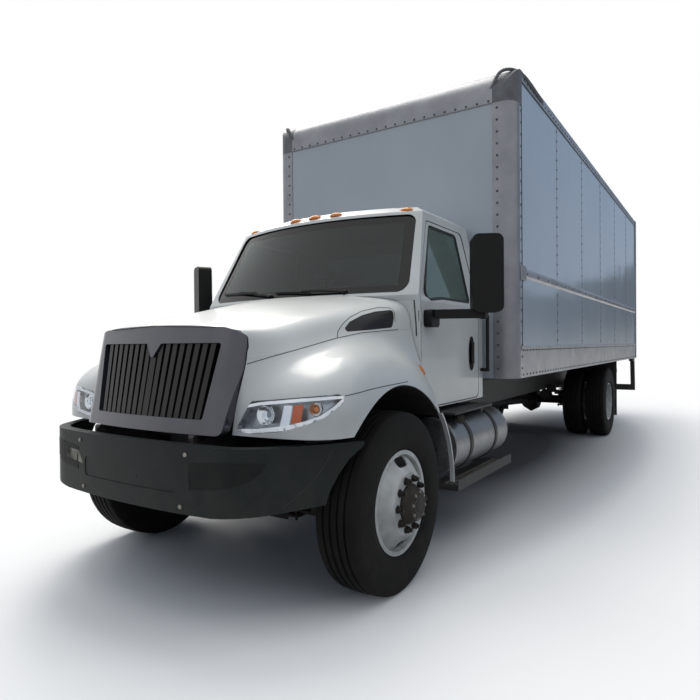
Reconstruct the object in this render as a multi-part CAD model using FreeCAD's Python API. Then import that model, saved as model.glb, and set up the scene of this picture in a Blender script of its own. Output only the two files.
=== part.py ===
import FreeCAD, Part
import math
import os

# A two-axle box truck with a conventional cab and a van body, in millimetres.
# X is across the truck, +X on its left side. The bumper faces -Y and the rear door +Y. Z is up.
# The origin is on the ground, under the middle of the whole truck.

# Driving dimensions
wheelbase = 6731.0
front_overhang = 1000.0  # front axle to the face of the bumper
body_setback = 1790.0  # front axle to the front wall of the load body
body_length = 7556.0
rear_step_reach = 254.0  # how far the rear step stands behind the body
body_width = 2540.0
body_base_height = 1137.0  # ground to the underside of the body's bottom rail
body_roof_height = 3745.0
tyre_diameter = 1044.0
tyre_width = 279.0
rim_seat_diameter = 572.0
rim_flange_diameter = 597.0
rim_width = 236.0
front_wheel_centre = 1027.0  # middle of the truck to the middle of a front wheel
rear_wheel_centre = 1070.0  # middle of the truck to the middle of an outer rear wheel
dual_spacing = 336.0  # between the two wheels of a rear pair
frame_width = 864.0
frame_depth = 260.0
frame_top_height = 1005.0
kingpin_centre = 920.0
cab_half_width = 1000.0
fender_half_width = 1170.0
panel_thickness = 8.0
shut_gap = 7.0  # between a door or the hood and what it shuts against
running_clearance = 0.05  # between a shaft and its bore
seat_clearance = 0.3  # between pieces that lie against each other
overrun = 40.0  # how far a cutting solid runs past what it cuts

front_axle_y = front_overhang - (front_overhang + body_setback + body_length + rear_step_reach) / 2
axle_height = tyre_diameter / 2
rear_axle_station = wheelbase
body_rear_station = body_setback + body_length
both_sides = (1.0, -1.0)
full_turn = 360.0
half_turn = 180.0


# Shape helpers. A station is a distance behind the front axle.
def at(x, station, z):
    return FreeCAD.Vector(x, front_axle_y + station, z)


def block(x_pair, station_pair, z_pair):
    x0, x1 = sorted(x_pair)
    return Part.makeBox(x1 - x0, station_pair[1] - station_pair[0], z_pair[1] - z_pair[0],
                        at(x0, station_pair[0], z_pair[0]))


def rod(start, end, radius):
    return Part.makeCylinder(radius, (end - start).Length, start, end - start)


def closed_face(points):
    return Part.Face(Part.makePolygon(points + points[:1]))


def rounded_face(points, radius):
    """A flat face through the points, with each corner an arc of the given radius."""
    edges = []
    joints = []
    count = len(points)
    for i in range(count):
        here = points[i]
        back = points[i - 1] - here
        ahead = points[(i + 1) % count] - here
        half_angle = back.getAngle(ahead) / 2
        reach = min(radius / math.tan(half_angle), 0.45 * back.Length, 0.45 * ahead.Length)
        fillet = reach * math.tan(half_angle)
        back.normalize()
        ahead.normalize()
        middle = back + ahead
        middle.normalize()
        start = here + back * reach
        end = here + ahead * reach
        top = here + middle * (fillet / math.sin(half_angle) - fillet)
        joints.append((start, top, end))
    for i in range(count):
        start, top, end = joints[i]
        edges.append(Part.Arc(start, top, end).toShape())
        following = joints[(i + 1) % count][0]
        if (following - end).Length > seat_clearance / 1000:
            edges.append(Part.LineSegment(end, following).toShape())
    return Part.Face(Part.Wire(edges))


def across(outline, x_pair, radius=0):
    """A prism along X from (station, z) points."""
    points = [at(x_pair[0], station, z) for station, z in outline]
    face = rounded_face(points, radius) if radius else closed_face(points)
    return face.extrude(FreeCAD.Vector(x_pair[1] - x_pair[0], 0, 0))


def along(outline, station_pair, radius=0):
    """A prism along Y from (x, z) points."""
    points = [at(x, station_pair[0], z) for x, z in outline]
    face = rounded_face(points, radius) if radius else closed_face(points)
    return face.extrude(FreeCAD.Vector(0, station_pair[1] - station_pair[0], 0))


def upright(outline, z_pair, radius=0):
    """A prism along Z from (x, station) points."""
    points = [at(x, station, z_pair[0]) for x, station in outline]
    face = rounded_face(points, radius) if radius else closed_face(points)
    return face.extrude(FreeCAD.Vector(0, 0, z_pair[1] - z_pair[0]))


def turned(profile, station, z):
    """A solid turned about the cross axis through (station, z), from (x, radius) points."""
    face = closed_face([at(x, station, z + radius) for x, radius in profile])
    return face.revolve(at(0, station, z), FreeCAD.Vector(1, 0, 0), full_turn)


def mirrored(shape):
    return shape.mirror(FreeCAD.Vector(0, 0, 0), FreeCAD.Vector(1, 0, 0))


def on_side(shape, side):
    return shape if side > 0 else mirrored(shape)


def pair(shape):
    return [shape, mirrored(shape)]


def fused(shapes):
    return shapes[0].multiFuse(shapes[1:]).removeSplitter()


def group(shapes):
    """Solids that do not touch, kept as one piece."""
    return Part.makeCompound([solid for shape in shapes for solid in shape.Solids])


def export(name, shape):
    shape.exportStep("parts/" + name + ".step")


# Tyres and wheels
tyre_shoulder = 31.0  # from the widest part of the tyre in to the edge of the tread
sidewall_share = 0.52  # where the sidewall is widest, from the bead out to the tread
flange_run = 16.0
rim_wall = 12.0
disc_thickness = 12.0
disc_offset = 168.0  # middle of the rim to the hub face of the disc
disc_land_radius = 180.0  # flat part of the disc round the studs
disc_bore_radius = 110.0
disc_edge_setback = 35.0
hand_hole_radius = 232.0
hand_hole_length = 120.0
hand_hole_width = 52.0
hub_nose_radius = 84.0
hub_nose_length = 58.0
hub_body_depth = 175.0  # from the hub face of the disc in to the seal
spindle_radius = 44.0
spindle_end_gap = 12.0


def tyre(centre, station):
    half = tyre_width / 2
    bead = rim_seat_diameter / 2
    tread = tyre_diameter / 2
    widest = bead + (tread - bead) * sidewall_share
    bead_half = rim_width / 2 - flange_run
    profile = [(-bead_half, bead), (bead_half, bead), (half, widest),
               (half - tyre_shoulder, tread), (tyre_shoulder - half, tread), (-half, widest)]
    return turned([(centre + x, radius) for x, radius in profile], station, axle_height)


def disc_wheel(centre, dish, station):
    """A steel disc wheel. dish is 1 where the disc bulges towards +X, and -1 the other way."""
    seat = rim_seat_diameter / 2
    flange = rim_flange_diameter / 2
    half = rim_width / 2
    inner = seat - rim_wall
    edge = half - disc_edge_setback
    profile = [(half, flange), (half - flange_run, seat), (-half, seat), (-half, inner),
               (edge - disc_thickness, inner), (disc_offset - disc_thickness, disc_land_radius),
               (disc_offset - disc_thickness, disc_bore_radius), (disc_offset, disc_bore_radius),
               (disc_offset, disc_land_radius), (edge, inner), (half, inner)]
    wheel = turned([(centre + dish * x, radius) for x, radius in profile], station, axle_height)
    hole_face = rounded_face(
        [at(centre, station + along_share * hand_hole_length / 2,
            axle_height + hand_hole_radius + up_share * hand_hole_width / 2)
         for along_share, up_share in ((-1, -1), (1, -1), (1, 1), (-1, 1))], hand_hole_width)
    hole = hole_face.extrude(FreeCAD.Vector(dish * (disc_offset + overrun), 0, 0))
    opposite = hole.copy()
    opposite.rotate(at(0, station, axle_height), FreeCAD.Vector(1, 0, 0), half_turn)
    return wheel.cut(hole).cut(opposite)


def hub(face, outward, station):
    """The hub from its nose in to the seal, bored for the spindle. outward is 1 towards +X."""
    nose = face + outward * hub_nose_length
    seal = face - outward * hub_body_depth
    bore_end = nose - outward * spindle_end_gap
    bore = spindle_radius + running_clearance
    profile = [(nose, 0), (nose, hub_nose_radius), (face, disc_bore_radius), (seal, disc_bore_radius),
               (seal, bore), (bore_end, bore), (bore_end, 0)]
    return turned(profile, station, axle_height)


def front_wheel():
    face = front_wheel_centre + disc_offset
    return fused([disc_wheel(front_wheel_centre, 1, 0), hub(face, 1, 0)])


def rear_wheels():
    outer = disc_wheel(rear_wheel_centre, -1, rear_axle_station)
    inner = disc_wheel(rear_wheel_centre - dual_spacing, 1, rear_axle_station)
    face = rear_wheel_centre - disc_offset
    return fused([outer, inner, hub(face, 1, rear_axle_station)])


def make_wheels():
    for side, name in zip(both_sides, ("left", "right")):
        export("tyre_front_" + name, on_side(tyre(front_wheel_centre, 0), side))
        export("wheel_front_" + name, on_side(front_wheel(), side))
        rear_tyres = [tyre(rear_wheel_centre, rear_axle_station),
                      tyre(rear_wheel_centre - dual_spacing, rear_axle_station)]
        export("tyres_rear_" + name, on_side(group(rear_tyres), side))
        export("wheels_rear_" + name, on_side(rear_wheels(), side))


# Frame
rail_thickness = 9.0
rail_flange = 76.0
frame_front_station = -740.0
frame_rear_setback = 46.0
crossmember_depth = 120.0
crossmember_width = 70.0
crossmember_wall = 10.0
crossmember_shares = (0.02, 0.226, 0.34, 0.47, 0.6, 0.73, 0.86, 0.985)
frame_rear_station = body_rear_station - frame_rear_setback
frame_bottom_height = frame_top_height - frame_depth
rail_inner = frame_width / 2 - rail_thickness


def frame_rails():
    outer = frame_width / 2
    lip = outer - rail_flange
    low = frame_bottom_height
    high = frame_top_height
    channel = [(outer, low), (outer, high), (lip, high), (lip, high - rail_thickness),
               (rail_inner, high - rail_thickness), (rail_inner, low + rail_thickness),
               (lip, low + rail_thickness), (lip, low)]
    rails = pair(along(channel, (frame_front_station, frame_rear_station)))
    members = []
    span = frame_rear_station - frame_front_station - crossmember_width
    top = high - rail_thickness
    foot = top - crossmember_depth
    wall = crossmember_wall
    for share in crossmember_shares:
        front = frame_front_station + share * span
        back = front + crossmember_width
        profile = [(front, foot), (front, top), (back, top), (back, top - wall), (front + wall, top - wall),
                   (front + wall, foot + wall), (back, foot + wall), (back, foot)]
        members.append(across(profile, (-rail_inner, rail_inner)))
    return fused(rails + members)


# Front bumper and its brackets, with the ears of the hood's pivot
bumper_top = 935.0
bumper_bottom = 588.0
bumper_end_rise = 60.0  # how much higher the bottom edge is at the bumper's ends
bumper_corner_centre = (607.0, -597.0)
bumper_corner_radius = 360.0
bumper_corner_angles = (7.4, 33.0, 58.0)  # its start, middle and end, counted from straight ahead
bumper_side_run = 448.0
bumper_end_outline = ((-395.0, 1000.0), (-395.0, 925.0), (-480.0, 850.0), (-530.0, 780.0), (-575.0, 690.0),
                      (-605.0, 580.0))  # stations and heights of the rear edge of its ends
bumper_wall = 8.0
bumper_flange = 62.0
plate_recess_half_width = 400.0
plate_recess_height = 110.0
plate_recess_centre = 745.0
plate_recess_depth = 4.0
plate_hole_spacing = 178.0
plate_hole_radius = 3.5
bracket_thickness = 22.0
bracket_root_station = -560.0
bracket_drop = 130.0
hood_pivot_station = -885.0
hood_pivot_height = 955.0
hood_pin_radius = 8.0
hood_ear_radius = 16.0


def bumper_outline(inset):
    """The bumper in plan, drawn in by the inset: a bow, two round corners and two straight ends."""
    radius = bumper_corner_radius - inset
    centre_x, centre_s = bumper_corner_centre
    turns = [math.radians(angle) for angle in bumper_corner_angles]
    drawn = [(centre_x + radius * math.sin(turn), centre_s - radius * math.cos(turn)) for turn in turns]
    drawn.append((drawn[-1][0] + bumper_side_run * math.cos(turns[-1]),
                  drawn[-1][1] + bumper_side_run * math.sin(turns[-1])))
    spots = [[at(side * x, station, bumper_bottom) for x, station in drawn] for side in both_sides]
    left, right = spots
    face = at(0, -front_overhang + inset, bumper_bottom)
    edges = [Part.Arc(right[0], face, left[0]).toShape()]
    for start, middle, end, tail in spots:
        edges.append(Part.Arc(start, middle, end).toShape())
        edges.append(Part.LineSegment(end, tail).toShape())
    edges.append(Part.LineSegment(left[3], right[3]).toShape())
    return Part.Face(Part.Wire(Part.__sortEdges__(edges)))


def front_bumper():
    height = bumper_top - bumper_bottom
    lift = FreeCAD.Vector(0, 0, 1)
    body = bumper_outline(0).extrude(lift * height)
    core = bumper_outline(bumper_wall).extrude(lift * (height - 2 * bumper_wall))
    core.translate(lift * bumper_wall)
    well = bumper_outline(bumper_flange).extrude(lift * (height + 2 * overrun))
    well.translate(lift * -overrun)
    shell = body.cut(core).cut(well)
    start = bumper_corner_centre[0]
    reach = 2 * start
    behind = list(bumper_end_outline) + [(0, bumper_end_outline[-1][1]), (0, bumper_end_outline[0][1])]
    shell = shell.cut(across(behind, (-reach, reach)))
    under = [(start, bumper_bottom - overrun), (start, bumper_bottom),
             (reach, bumper_bottom + bumper_end_rise), (reach, bumper_bottom - overrun)]
    for cutter in pair(along(under, (-front_overhang - overrun, 0))):
        shell = shell.cut(cutter)
    low = plate_recess_centre - plate_recess_height / 2
    high = plate_recess_centre + plate_recess_height / 2
    wide = plate_recess_half_width
    recess = along([(-wide, low), (wide, low), (wide, high), (-wide, high)],
                   (-front_overhang - overrun, frame_front_station), plate_recess_height / 4)
    deeper = bumper_outline(plate_recess_depth).extrude(lift * height)
    shell = shell.cut(recess.cut(deeper))
    for side in both_sides:
        x = side * plate_hole_spacing / 2
        shell = shell.cut(rod(at(x, -front_overhang - overrun, plate_recess_centre),
                              at(x, -front_overhang + bumper_flange, plate_recess_centre), plate_hole_radius))
    return shell


def bumper_brackets():
    """Plates that carry the bumper from inside the frame rails, each with an ear for the hood's pivot."""
    outer = rail_inner - seat_clearance
    inner = outer - bracket_thickness
    low = frame_bottom_height + rail_thickness + seat_clearance
    high = frame_top_height - rail_thickness - seat_clearance - bracket_thickness
    back = -front_overhang + bumper_flange
    centre_x, centre_s = bumper_corner_centre
    turn = math.radians(bumper_corner_angles[0])
    bow_end = centre_x + bumper_corner_radius * math.sin(turn)
    bow = centre_s - bumper_corner_radius * math.cos(turn) + front_overhang
    nose = -front_overhang + bow * (outer / bow_end) ** 2 + bumper_wall + seat_clearance
    profile = [(bracket_root_station, low), (bracket_root_station, high), (frame_front_station, high),
               (back + hood_ear_radius, bumper_top - bumper_wall - bracket_thickness),
               (nose, bumper_top - bumper_wall - bracket_thickness), (nose, low - bracket_drop),
               (frame_front_station, low)]
    plate = across(profile, (inner, outer))
    neck = across([(hood_pivot_station - hood_ear_radius, high - bracket_drop),
                   (hood_pivot_station - hood_ear_radius, hood_pivot_height),
                   (hood_pivot_station + hood_ear_radius, hood_pivot_height),
                   (hood_pivot_station + 2 * hood_ear_radius, high - bracket_drop)], (inner, outer))
    eye = rod(at(inner, hood_pivot_station, hood_pivot_height),
              at(outer, hood_pivot_station, hood_pivot_height),
              hood_ear_radius)
    bore = rod(at(inner - overrun, hood_pivot_station, hood_pivot_height),
               at(outer + overrun, hood_pivot_station, hood_pivot_height),
               hood_pin_radius + running_clearance)
    return group(pair(fused([plate, neck, eye]).cut(bore)))


# Front axle, steering and springs
beam_depth = 92.0
beam_thickness = 100.0
beam_web_thickness = 40.0
beam_flange = 20.0
beam_drop = 112.0
beam_arm_start = 560.0
pocket_length_share = 0.95
kingpin_radius = 24.0
kingpin_boss_radius = 44.0
kingpin_boss_height = 118.0
knuckle_ear_thickness = 34.0
knuckle_gap = 0.5  # between the knuckle's ears and the beam's boss
knuckle_back_radius = 190.0  # brake backing plate
knuckle_back_thickness = 14.0
steering_arm_reach = 190.0
steering_arm_drop = 42.0
steering_arm_thickness = 18.0
tie_rod_radius = 17.0
ball_pin_radius = 11.0
ball_boss_radius = 24.0


def front_axle():
    end_low = axle_height - beam_depth / 2
    end_high = axle_height + beam_depth / 2
    inner_end = kingpin_centre - kingpin_boss_radius / 2
    outline = [(-inner_end, end_low), (-beam_arm_start, end_low - beam_drop),
               (beam_arm_start, end_low - beam_drop), (inner_end, end_low), (inner_end, end_high),
               (beam_arm_start, end_high - beam_drop), (-beam_arm_start, end_high - beam_drop),
               (-inner_end, end_high)]
    beam = along(outline, (-beam_thickness / 2, beam_thickness / 2))
    pocket_side = beam_arm_start * pocket_length_share
    pocket_low = end_low - beam_drop + beam_flange
    pocket_high = end_high - beam_drop - beam_flange
    parts = [beam]
    for side in both_sides:
        depth = sorted((side * beam_web_thickness / 2, side * beam_thickness))
        pocket = block((-pocket_side, pocket_side), depth, (pocket_low, pocket_high))
        parts[0] = parts[0].cut(pocket)
        boss_low = axle_height - kingpin_boss_height / 2
        boss = rod(at(side * kingpin_centre, 0, boss_low),
                   at(side * kingpin_centre, 0, boss_low + kingpin_boss_height), kingpin_boss_radius)
        parts.append(boss)
    axle = fused(parts)
    for side in both_sides:
        axle = axle.cut(rod(at(side * kingpin_centre, 0, 0), at(side * kingpin_centre, 0, tyre_diameter),
                            kingpin_radius + running_clearance))
    return axle


def knuckle():
    """The left knuckle: kingpin, two ears, spindle, brake plate and steering arm."""
    boss_high = axle_height + kingpin_boss_height / 2 + knuckle_gap
    boss_low = axle_height - kingpin_boss_height / 2 - knuckle_gap
    pin_top = boss_high + knuckle_ear_thickness
    pin_foot = boss_low - knuckle_ear_thickness
    pin = rod(at(kingpin_centre, 0, pin_foot), at(kingpin_centre, 0, pin_top), kingpin_radius)
    wheel_face = front_wheel_centre + disc_offset
    back_plate = wheel_face - hub_body_depth - seat_clearance
    yoke = back_plate - knuckle_back_thickness
    ears = []
    for low in (boss_high, pin_foot):
        ears.append(rod(at(kingpin_centre, 0, low), at(kingpin_centre, 0, low + knuckle_ear_thickness),
                        kingpin_boss_radius))
        ears.append(block((kingpin_centre, back_plate), (-kingpin_boss_radius, kingpin_boss_radius),
                          (low, low + knuckle_ear_thickness)))
    web = block((yoke, back_plate), (-kingpin_boss_radius, kingpin_boss_radius), (pin_foot, pin_top))
    plate = rod(at(yoke, 0, axle_height), at(back_plate, 0, axle_height), knuckle_back_radius)
    spindle_end = wheel_face + hub_nose_length - 2 * spindle_end_gap
    spindle = rod(at(yoke, 0, axle_height), at(spindle_end, 0, axle_height), spindle_radius)
    arm_high = pin_foot + steering_arm_thickness
    arm = upright([(kingpin_centre - kingpin_boss_radius, 0), (kingpin_centre + kingpin_boss_radius, 0),
                   (kingpin_centre + ball_boss_radius, steering_arm_reach),
                   (kingpin_centre - ball_boss_radius, steering_arm_reach)], (pin_foot, arm_high))
    ball = rod(at(kingpin_centre, steering_arm_reach, pin_foot),
               at(kingpin_centre, steering_arm_reach, arm_high), ball_boss_radius)
    stud = rod(at(kingpin_centre, steering_arm_reach, pin_foot - steering_arm_drop),
               at(kingpin_centre, steering_arm_reach, pin_foot), ball_pin_radius)
    return fused([pin, web, plate, spindle, arm, ball, stud] + ears)


def tie_rod():
    """The bar between the two steering arms, with an eye round each arm's stud."""
    pin_foot = axle_height - kingpin_boss_height / 2 - knuckle_gap - knuckle_ear_thickness
    high = pin_foot - seat_clearance
    low = high - steering_arm_drop
    middle = (high + low) / 2
    reach = kingpin_centre
    bar = rod(at(-reach, steering_arm_reach, middle), at(reach, steering_arm_reach, middle), tie_rod_radius)
    eyes = [rod(at(side * reach, steering_arm_reach, low), at(side * reach, steering_arm_reach, high),
                ball_boss_radius) for side in both_sides]
    result = fused([bar] + eyes)
    for side in both_sides:
        result = result.cut(rod(at(side * reach, steering_arm_reach, low - overrun),
                                at(side * reach, steering_arm_reach, high + overrun),
                                ball_pin_radius + running_clearance))
    return result


front_spring_centre = 420.0
front_spring_half_length = 640.0
front_spring_rise = 95.0
rear_spring_centre = 520.0
rear_spring_half_length = 700.0
rear_spring_rise = 60.0
spring_width = 76.0
front_spring_pack = 42.0
rear_spring_pack = 90.0
spring_eye_radius = 34.0
spring_leaf = 14.0
spring_hanger_thickness = 14.0


def leaf_spring(centre, station, seat_height, half_length, rise, pack, hanger_high):
    """A bowed leaf pack on its axle seat, with an eye at each end and a hanger up to the frame."""
    inner = centre - spring_width / 2
    outer = centre + spring_width / 2
    eye_height = seat_height + pack / 2 + rise

    def bow(half, low, thick):
        foot = [at(inner, station - half, low + rise * (half / half_length) ** 2),
                at(inner, station, low), at(inner, station + half, low + rise * (half / half_length) ** 2)]
        lift = FreeCAD.Vector(0, 0, thick)
        head = [point + lift for point in foot]
        edges = [Part.Arc(*foot).toShape(), Part.LineSegment(foot[2], head[2]).toShape(),
                 Part.Arc(head[2], head[1], head[0]).toShape(), Part.LineSegment(head[0], foot[0]).toShape()]
        return Part.Face(Part.Wire(edges)).extrude(FreeCAD.Vector(spring_width, 0, 0))

    steps = max(2, int(pack / (2 * spring_leaf)))
    thick = pack / steps
    parts = []
    for i in range(steps):
        parts.append(bow(half_length * (i + 1) / steps, seat_height + i * thick, thick))
    for side in both_sides:
        eye_station = station + side * half_length
        eye = seat_height + pack - thick / 2 + rise
        parts.append(rod(at(inner, eye_station, eye), at(outer, eye_station, eye), spring_eye_radius))
        parts.append(across([(eye_station - spring_eye_radius, eye), (eye_station + spring_eye_radius, eye),
                             (eye_station + spring_eye_radius, max(hanger_high, eye_height)),
                             (eye_station - spring_eye_radius, max(hanger_high, eye_height))],
                            (outer - spring_hanger_thickness, outer)))
    return fused(parts)


def leaf_springs():
    front_seat = axle_height + beam_depth / 2 - beam_drop + seat_clearance
    rear_seat = axle_height + rear_axle_tube_radius + seat_clearance
    front = leaf_spring(front_spring_centre - spring_width / 2, 0, front_seat, front_spring_half_length,
                        front_spring_rise, front_spring_pack, frame_bottom_height - seat_clearance)
    rear = leaf_spring(rear_spring_centre, rear_axle_station, rear_seat, rear_spring_half_length,
                       rear_spring_rise, rear_spring_pack, frame_bottom_height - seat_clearance)
    shelf_low = frame_bottom_height + frame_depth / 4
    shelves = []
    for side in both_sides:
        station = rear_axle_station + side * rear_spring_half_length
        shelves.append(block((frame_width / 2 + seat_clearance, rear_spring_centre + spring_width / 2),
                             (station - spring_eye_radius, station + spring_eye_radius),
                             (frame_bottom_height - overrun, shelf_low)))
    rear = fused([rear] + shelves)
    return group(pair(front) + pair(rear))


# Rear axle and driveline
rear_axle_tube_radius = 66.0
carrier_radius = 215.0
carrier_half_width = 120.0
pinion_nose_length = 260.0
pinion_nose_radius = 95.0
shaft_radius = 57.0
engine_half_width = 300.0
engine_front_station = -450.0
engine_rear_station = 480.0
engine_low = 620.0
engine_high = 1400.0
gearbox_half_width = 230.0
gearbox_rear_station = 1500.0
gearbox_low = 640.0
gearbox_high = 960.0
radiator_half_width = 400.0
radiator_station = -640.0
radiator_depth = 90.0
radiator_low = 1015.0
radiator_high = 1400.0
mount_width = 80.0
mount_stations = (-200.0, 1300.0)  # the engine's mounts and the gearbox's
mount_low = 780.0
mount_high = 850.0
carrier_side_share = 0.7


def rear_axle():
    face = rear_wheel_centre - disc_offset
    spindle_end = face + hub_nose_length - 2 * spindle_end_gap
    seal = face - hub_body_depth - seat_clearance
    tube = rod(at(-seal, rear_axle_station, axle_height), at(seal, rear_axle_station, axle_height),
               rear_axle_tube_radius)
    spindle = rod(at(-spindle_end, rear_axle_station, axle_height),
                  at(spindle_end, rear_axle_station, axle_height), spindle_radius)
    carrier = turned([(-carrier_half_width, 0), (-carrier_half_width, carrier_radius * carrier_side_share),
                      (0, carrier_radius),
                      (carrier_half_width, carrier_radius * carrier_side_share), (carrier_half_width, 0)],
                     rear_axle_station, axle_height)
    nose = rod(at(0, rear_axle_station - carrier_radius - pinion_nose_length / 2, axle_height),
               at(0, rear_axle_station, axle_height), pinion_nose_radius)
    return fused([tube, spindle, carrier, nose])


def powertrain():
    """Engine and gearbox on their mounts, the radiator, and the drive shaft to the rear axle."""
    engine = block((-engine_half_width, engine_half_width), (engine_front_station, engine_rear_station),
                   (engine_low, engine_high))
    gearbox = block((-gearbox_half_width, gearbox_half_width), (engine_rear_station, gearbox_rear_station),
                    (gearbox_low, gearbox_high))
    start = at(0, gearbox_rear_station, (gearbox_low + gearbox_high) / 2)
    end = at(0, rear_axle_station - carrier_radius - pinion_nose_length / 2 - seat_clearance, axle_height)
    shaft = rod(start, end, shaft_radius).cut(
        block((-carrier_radius, carrier_radius),
              (end.y - front_axle_y, end.y - front_axle_y + 2 * carrier_radius),
              (0, frame_top_height)))
    radiator = block((-radiator_half_width, radiator_half_width),
                     (radiator_station, radiator_station + radiator_depth), (radiator_low, radiator_high))
    stay = block((-engine_half_width, engine_half_width),
                 (radiator_station + radiator_depth, engine_front_station),
                 (radiator_low, radiator_low + radiator_depth))
    mounts = []
    for station in mount_stations:
        for side in both_sides:
            mounts.append(block((0, side * (rail_inner - seat_clearance)), (station, station + mount_width),
                                (mount_low, mount_high)))
    return fused([engine, gearbox, shaft, radiator, stay] + mounts)


# Hood and fenders. The outer skin is one smooth surface through sections from nose to cowl.
hood_nose_station = -840.0
hood_length = 1400.0  # from the nose to the cowl
hood_base_height = 967.0
hood_rise = 823.0  # from the fenders' lower edge up to the rear of the hood
# Each row is one section from the middle of the hood out and down to the fender's lower edge:
# shares of the fender half width, of the hood length and of the hood rise.
hood_section_shares = (
    ((.000, .029, .706), (.253, .035, .702), (.415, .049, .684), (.496, .075, .654), (.526, .099, .593),
     (.536, .095, .514), (.532, .081, .405), (.519, .070, .307), (.506, .063, .222), (.498, .059, .149),
     (.489, .056, .077), (.485, .052, .000)),
    ((.000, .100, .723), (.256, .100, .721), (.424, .107, .706), (.524, .118, .672), (.571, .133, .605),
     (.586, .135, .526), (.603, .121, .417), (.628, .096, .320), (.650, .078, .241), (.658, .067, .162),
     (.658, .064, .083), (.650, .064, .000)),
    ((.000, .186, .751), (.256, .186, .749), (.436, .189, .730), (.548, .195, .690), (.605, .201, .623),
     (.622, .201, .550), (.665, .179, .435), (.725, .140, .350), (.789, .104, .283), (.815, .087, .198),
     (.815, .083, .101), (.802, .083, .000)),
    ((.000, .279, .784), (.265, .279, .779), (.453, .282, .757), (.568, .286, .714), (.624, .286, .648),
     (.645, .282, .575), (.692, .257, .471), (.769, .211, .423), (.855, .171, .368), (.910, .143, .271),
     (.927, .129, .137), (.919, .125, .000)),
    ((.000, .400, .827), (.274, .400, .821), (.470, .400, .796), (.590, .400, .751), (.641, .400, .684),
     (.662, .396, .611), (.709, .379, .526), (.786, .343, .496), (.872, .300, .465), (.953, .257, .356),
     (.983, .221, .186), (.983, .214, .000)),
    ((.000, .543, .878), (.282, .543, .870), (.496, .543, .842), (.615, .543, .793), (.662, .543, .727),
     (.684, .543, .648), (.726, .536, .581), (.803, .514, .556), (.880, .486, .526), (.957, .443, .417),
     (.996, .386, .222), (1.00, .350, .000)),
    ((.000, .700, .933), (.299, .700, .925), (.530, .700, .891), (.650, .700, .836), (.697, .700, .769),
     (.718, .700, .696), (.744, .700, .611), (.803, .693, .550), (.880, .679, .490), (.957, .657, .392),
     (.996, .629, .210), (1.00, .600, .000)),
    ((.000, .836, .982), (.308, .846, .973), (.564, .871, .942), (.701, .900, .903), (.748, .900, .842),
     (.765, .893, .745), (.778, .886, .623), (.812, .879, .514), (.872, .868, .417), (.949, .864, .320),
     (.991, .864, .162), (1.00, .864, .000)),
    ((.000, .871, .996), (.316, .893, .988), (.581, .943, .960), (.735, .989, .927), (.791, .996, .854),
     (.803, .996, .757), (.812, .993, .635), (.833, .986, .502), (.872, .979, .368), (.932, .971, .235),
     (.974, .971, .113), (.987, .971, .000)))
seam_stations = (-900.0, -180.0, 700.0)
seam_heights = (1320.0, 1468.0, 1550.0)
seam_gap = 0.8
seam_inner = 500.0
arch_station = 10.0
arch_height = 505.0
arch_radius = 690.0
arch_lip_width = 28.0
arch_lip_thickness = 12.0
arch_lip_end = 500.0  # height of the lip's lower end, behind the wheel
lamp_depth = 60.0
lamp_outline = ((580.0, 984.0), (680.0, 1146.0), (951.0, 1172.0), (1106.0, 1186.0), (1116.0, 1138.0),
                (1074.0, 1077.0), (1004.0, 1044.0), (866.0, 1002.0), (717.0, 984.0))
lamp_rear_station = -400.0
intake_depth = 40.0
intake_setback = 6.0
intake_outline = ((-90.0, 1506.0), (8.0, 1570.0), (135.0, 1614.0), (259.0, 1642.0), (417.0, 1660.0),
                  (398.0, 1600.0), (365.0, 1541.0), (143.0, 1521.0))
intake_inner = 700.0
skin_degree = 3
lamp_lean_share = 0.35  # how far the lamp's bowl runs inwards for each unit back
lamp_corner_radius = 24.0


def hood_points():
    rows = []
    for row in hood_section_shares:
        half = [at(x * fender_half_width, hood_nose_station + s * hood_length,
                   hood_base_height + z * hood_rise)
                for x, s, z in row]
        other = [FreeCAD.Vector(-point.x, point.y, point.z) for point in reversed(half[1:])]
        rows.append(other + half)
    return rows


def even_knots(pole_count):
    """Even knots for a clamped curve, with how often each one counts."""
    spans = pole_count - skin_degree
    ends = skin_degree + 1
    return list(range(spans + 1)), [ends] + [1] * (spans - 1) + [ends]


def pole_parameters(pole_count):
    """Where along the knots each pole pulls the most."""
    knots, counts = even_knots(pole_count)
    full = [knot for knot, count in zip(knots, counts) for _ in range(count)]
    return [sum(full[i + 1:i + 1 + skin_degree]) / skin_degree for i in range(pole_count)]


def surface_from(rows):
    """A smooth surface that the rows of poles shape."""
    u_knots, u_counts = even_knots(len(rows))
    v_knots, v_counts = even_knots(len(rows[0]))
    surface = Part.BSplineSurface()
    surface.buildFromPolesMultsKnots(rows, u_counts, v_counts, u_knots, v_knots, False, False,
                                     skin_degree, skin_degree)
    return surface


def hood_face():
    return surface_from(hood_points()).toShape()


def hood_rows(depth):
    """The rows of poles of the hood's surface, drawn in by the depth."""
    rows = hood_points()
    outer = surface_from(rows)
    u_places = pole_parameters(len(rows))
    v_places = pole_parameters(len(rows[0]))
    top = outer.normal(u_places[0], v_places[len(v_places) // 2])
    inward = -math.copysign(depth, top.z)
    return [[point + outer.normal(u, v) * inward for point, v in zip(row, v_places)]
            for row, u in zip(rows, u_places)]


def hood_skin(thickness):
    """The solid between the hood's outer surface and the same surface drawn in by the thickness."""
    outer_face = hood_face()
    inner_face = surface_from(hood_rows(thickness)).toShape()
    faces = [outer_face, inner_face]
    for first, second in zip(outer_face.Wires[0].Edges, inner_face.Wires[0].Edges):
        faces.append(Part.makeRuledSurface(first, second))
    shell = Part.makeShell([face for shape in faces for face in shape.Faces])
    shell.sewShape()
    solid = Part.Solid(Part.Shell(shell.Faces))
    if solid.Volume < 0:
        solid.reverse()
    return solid


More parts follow.
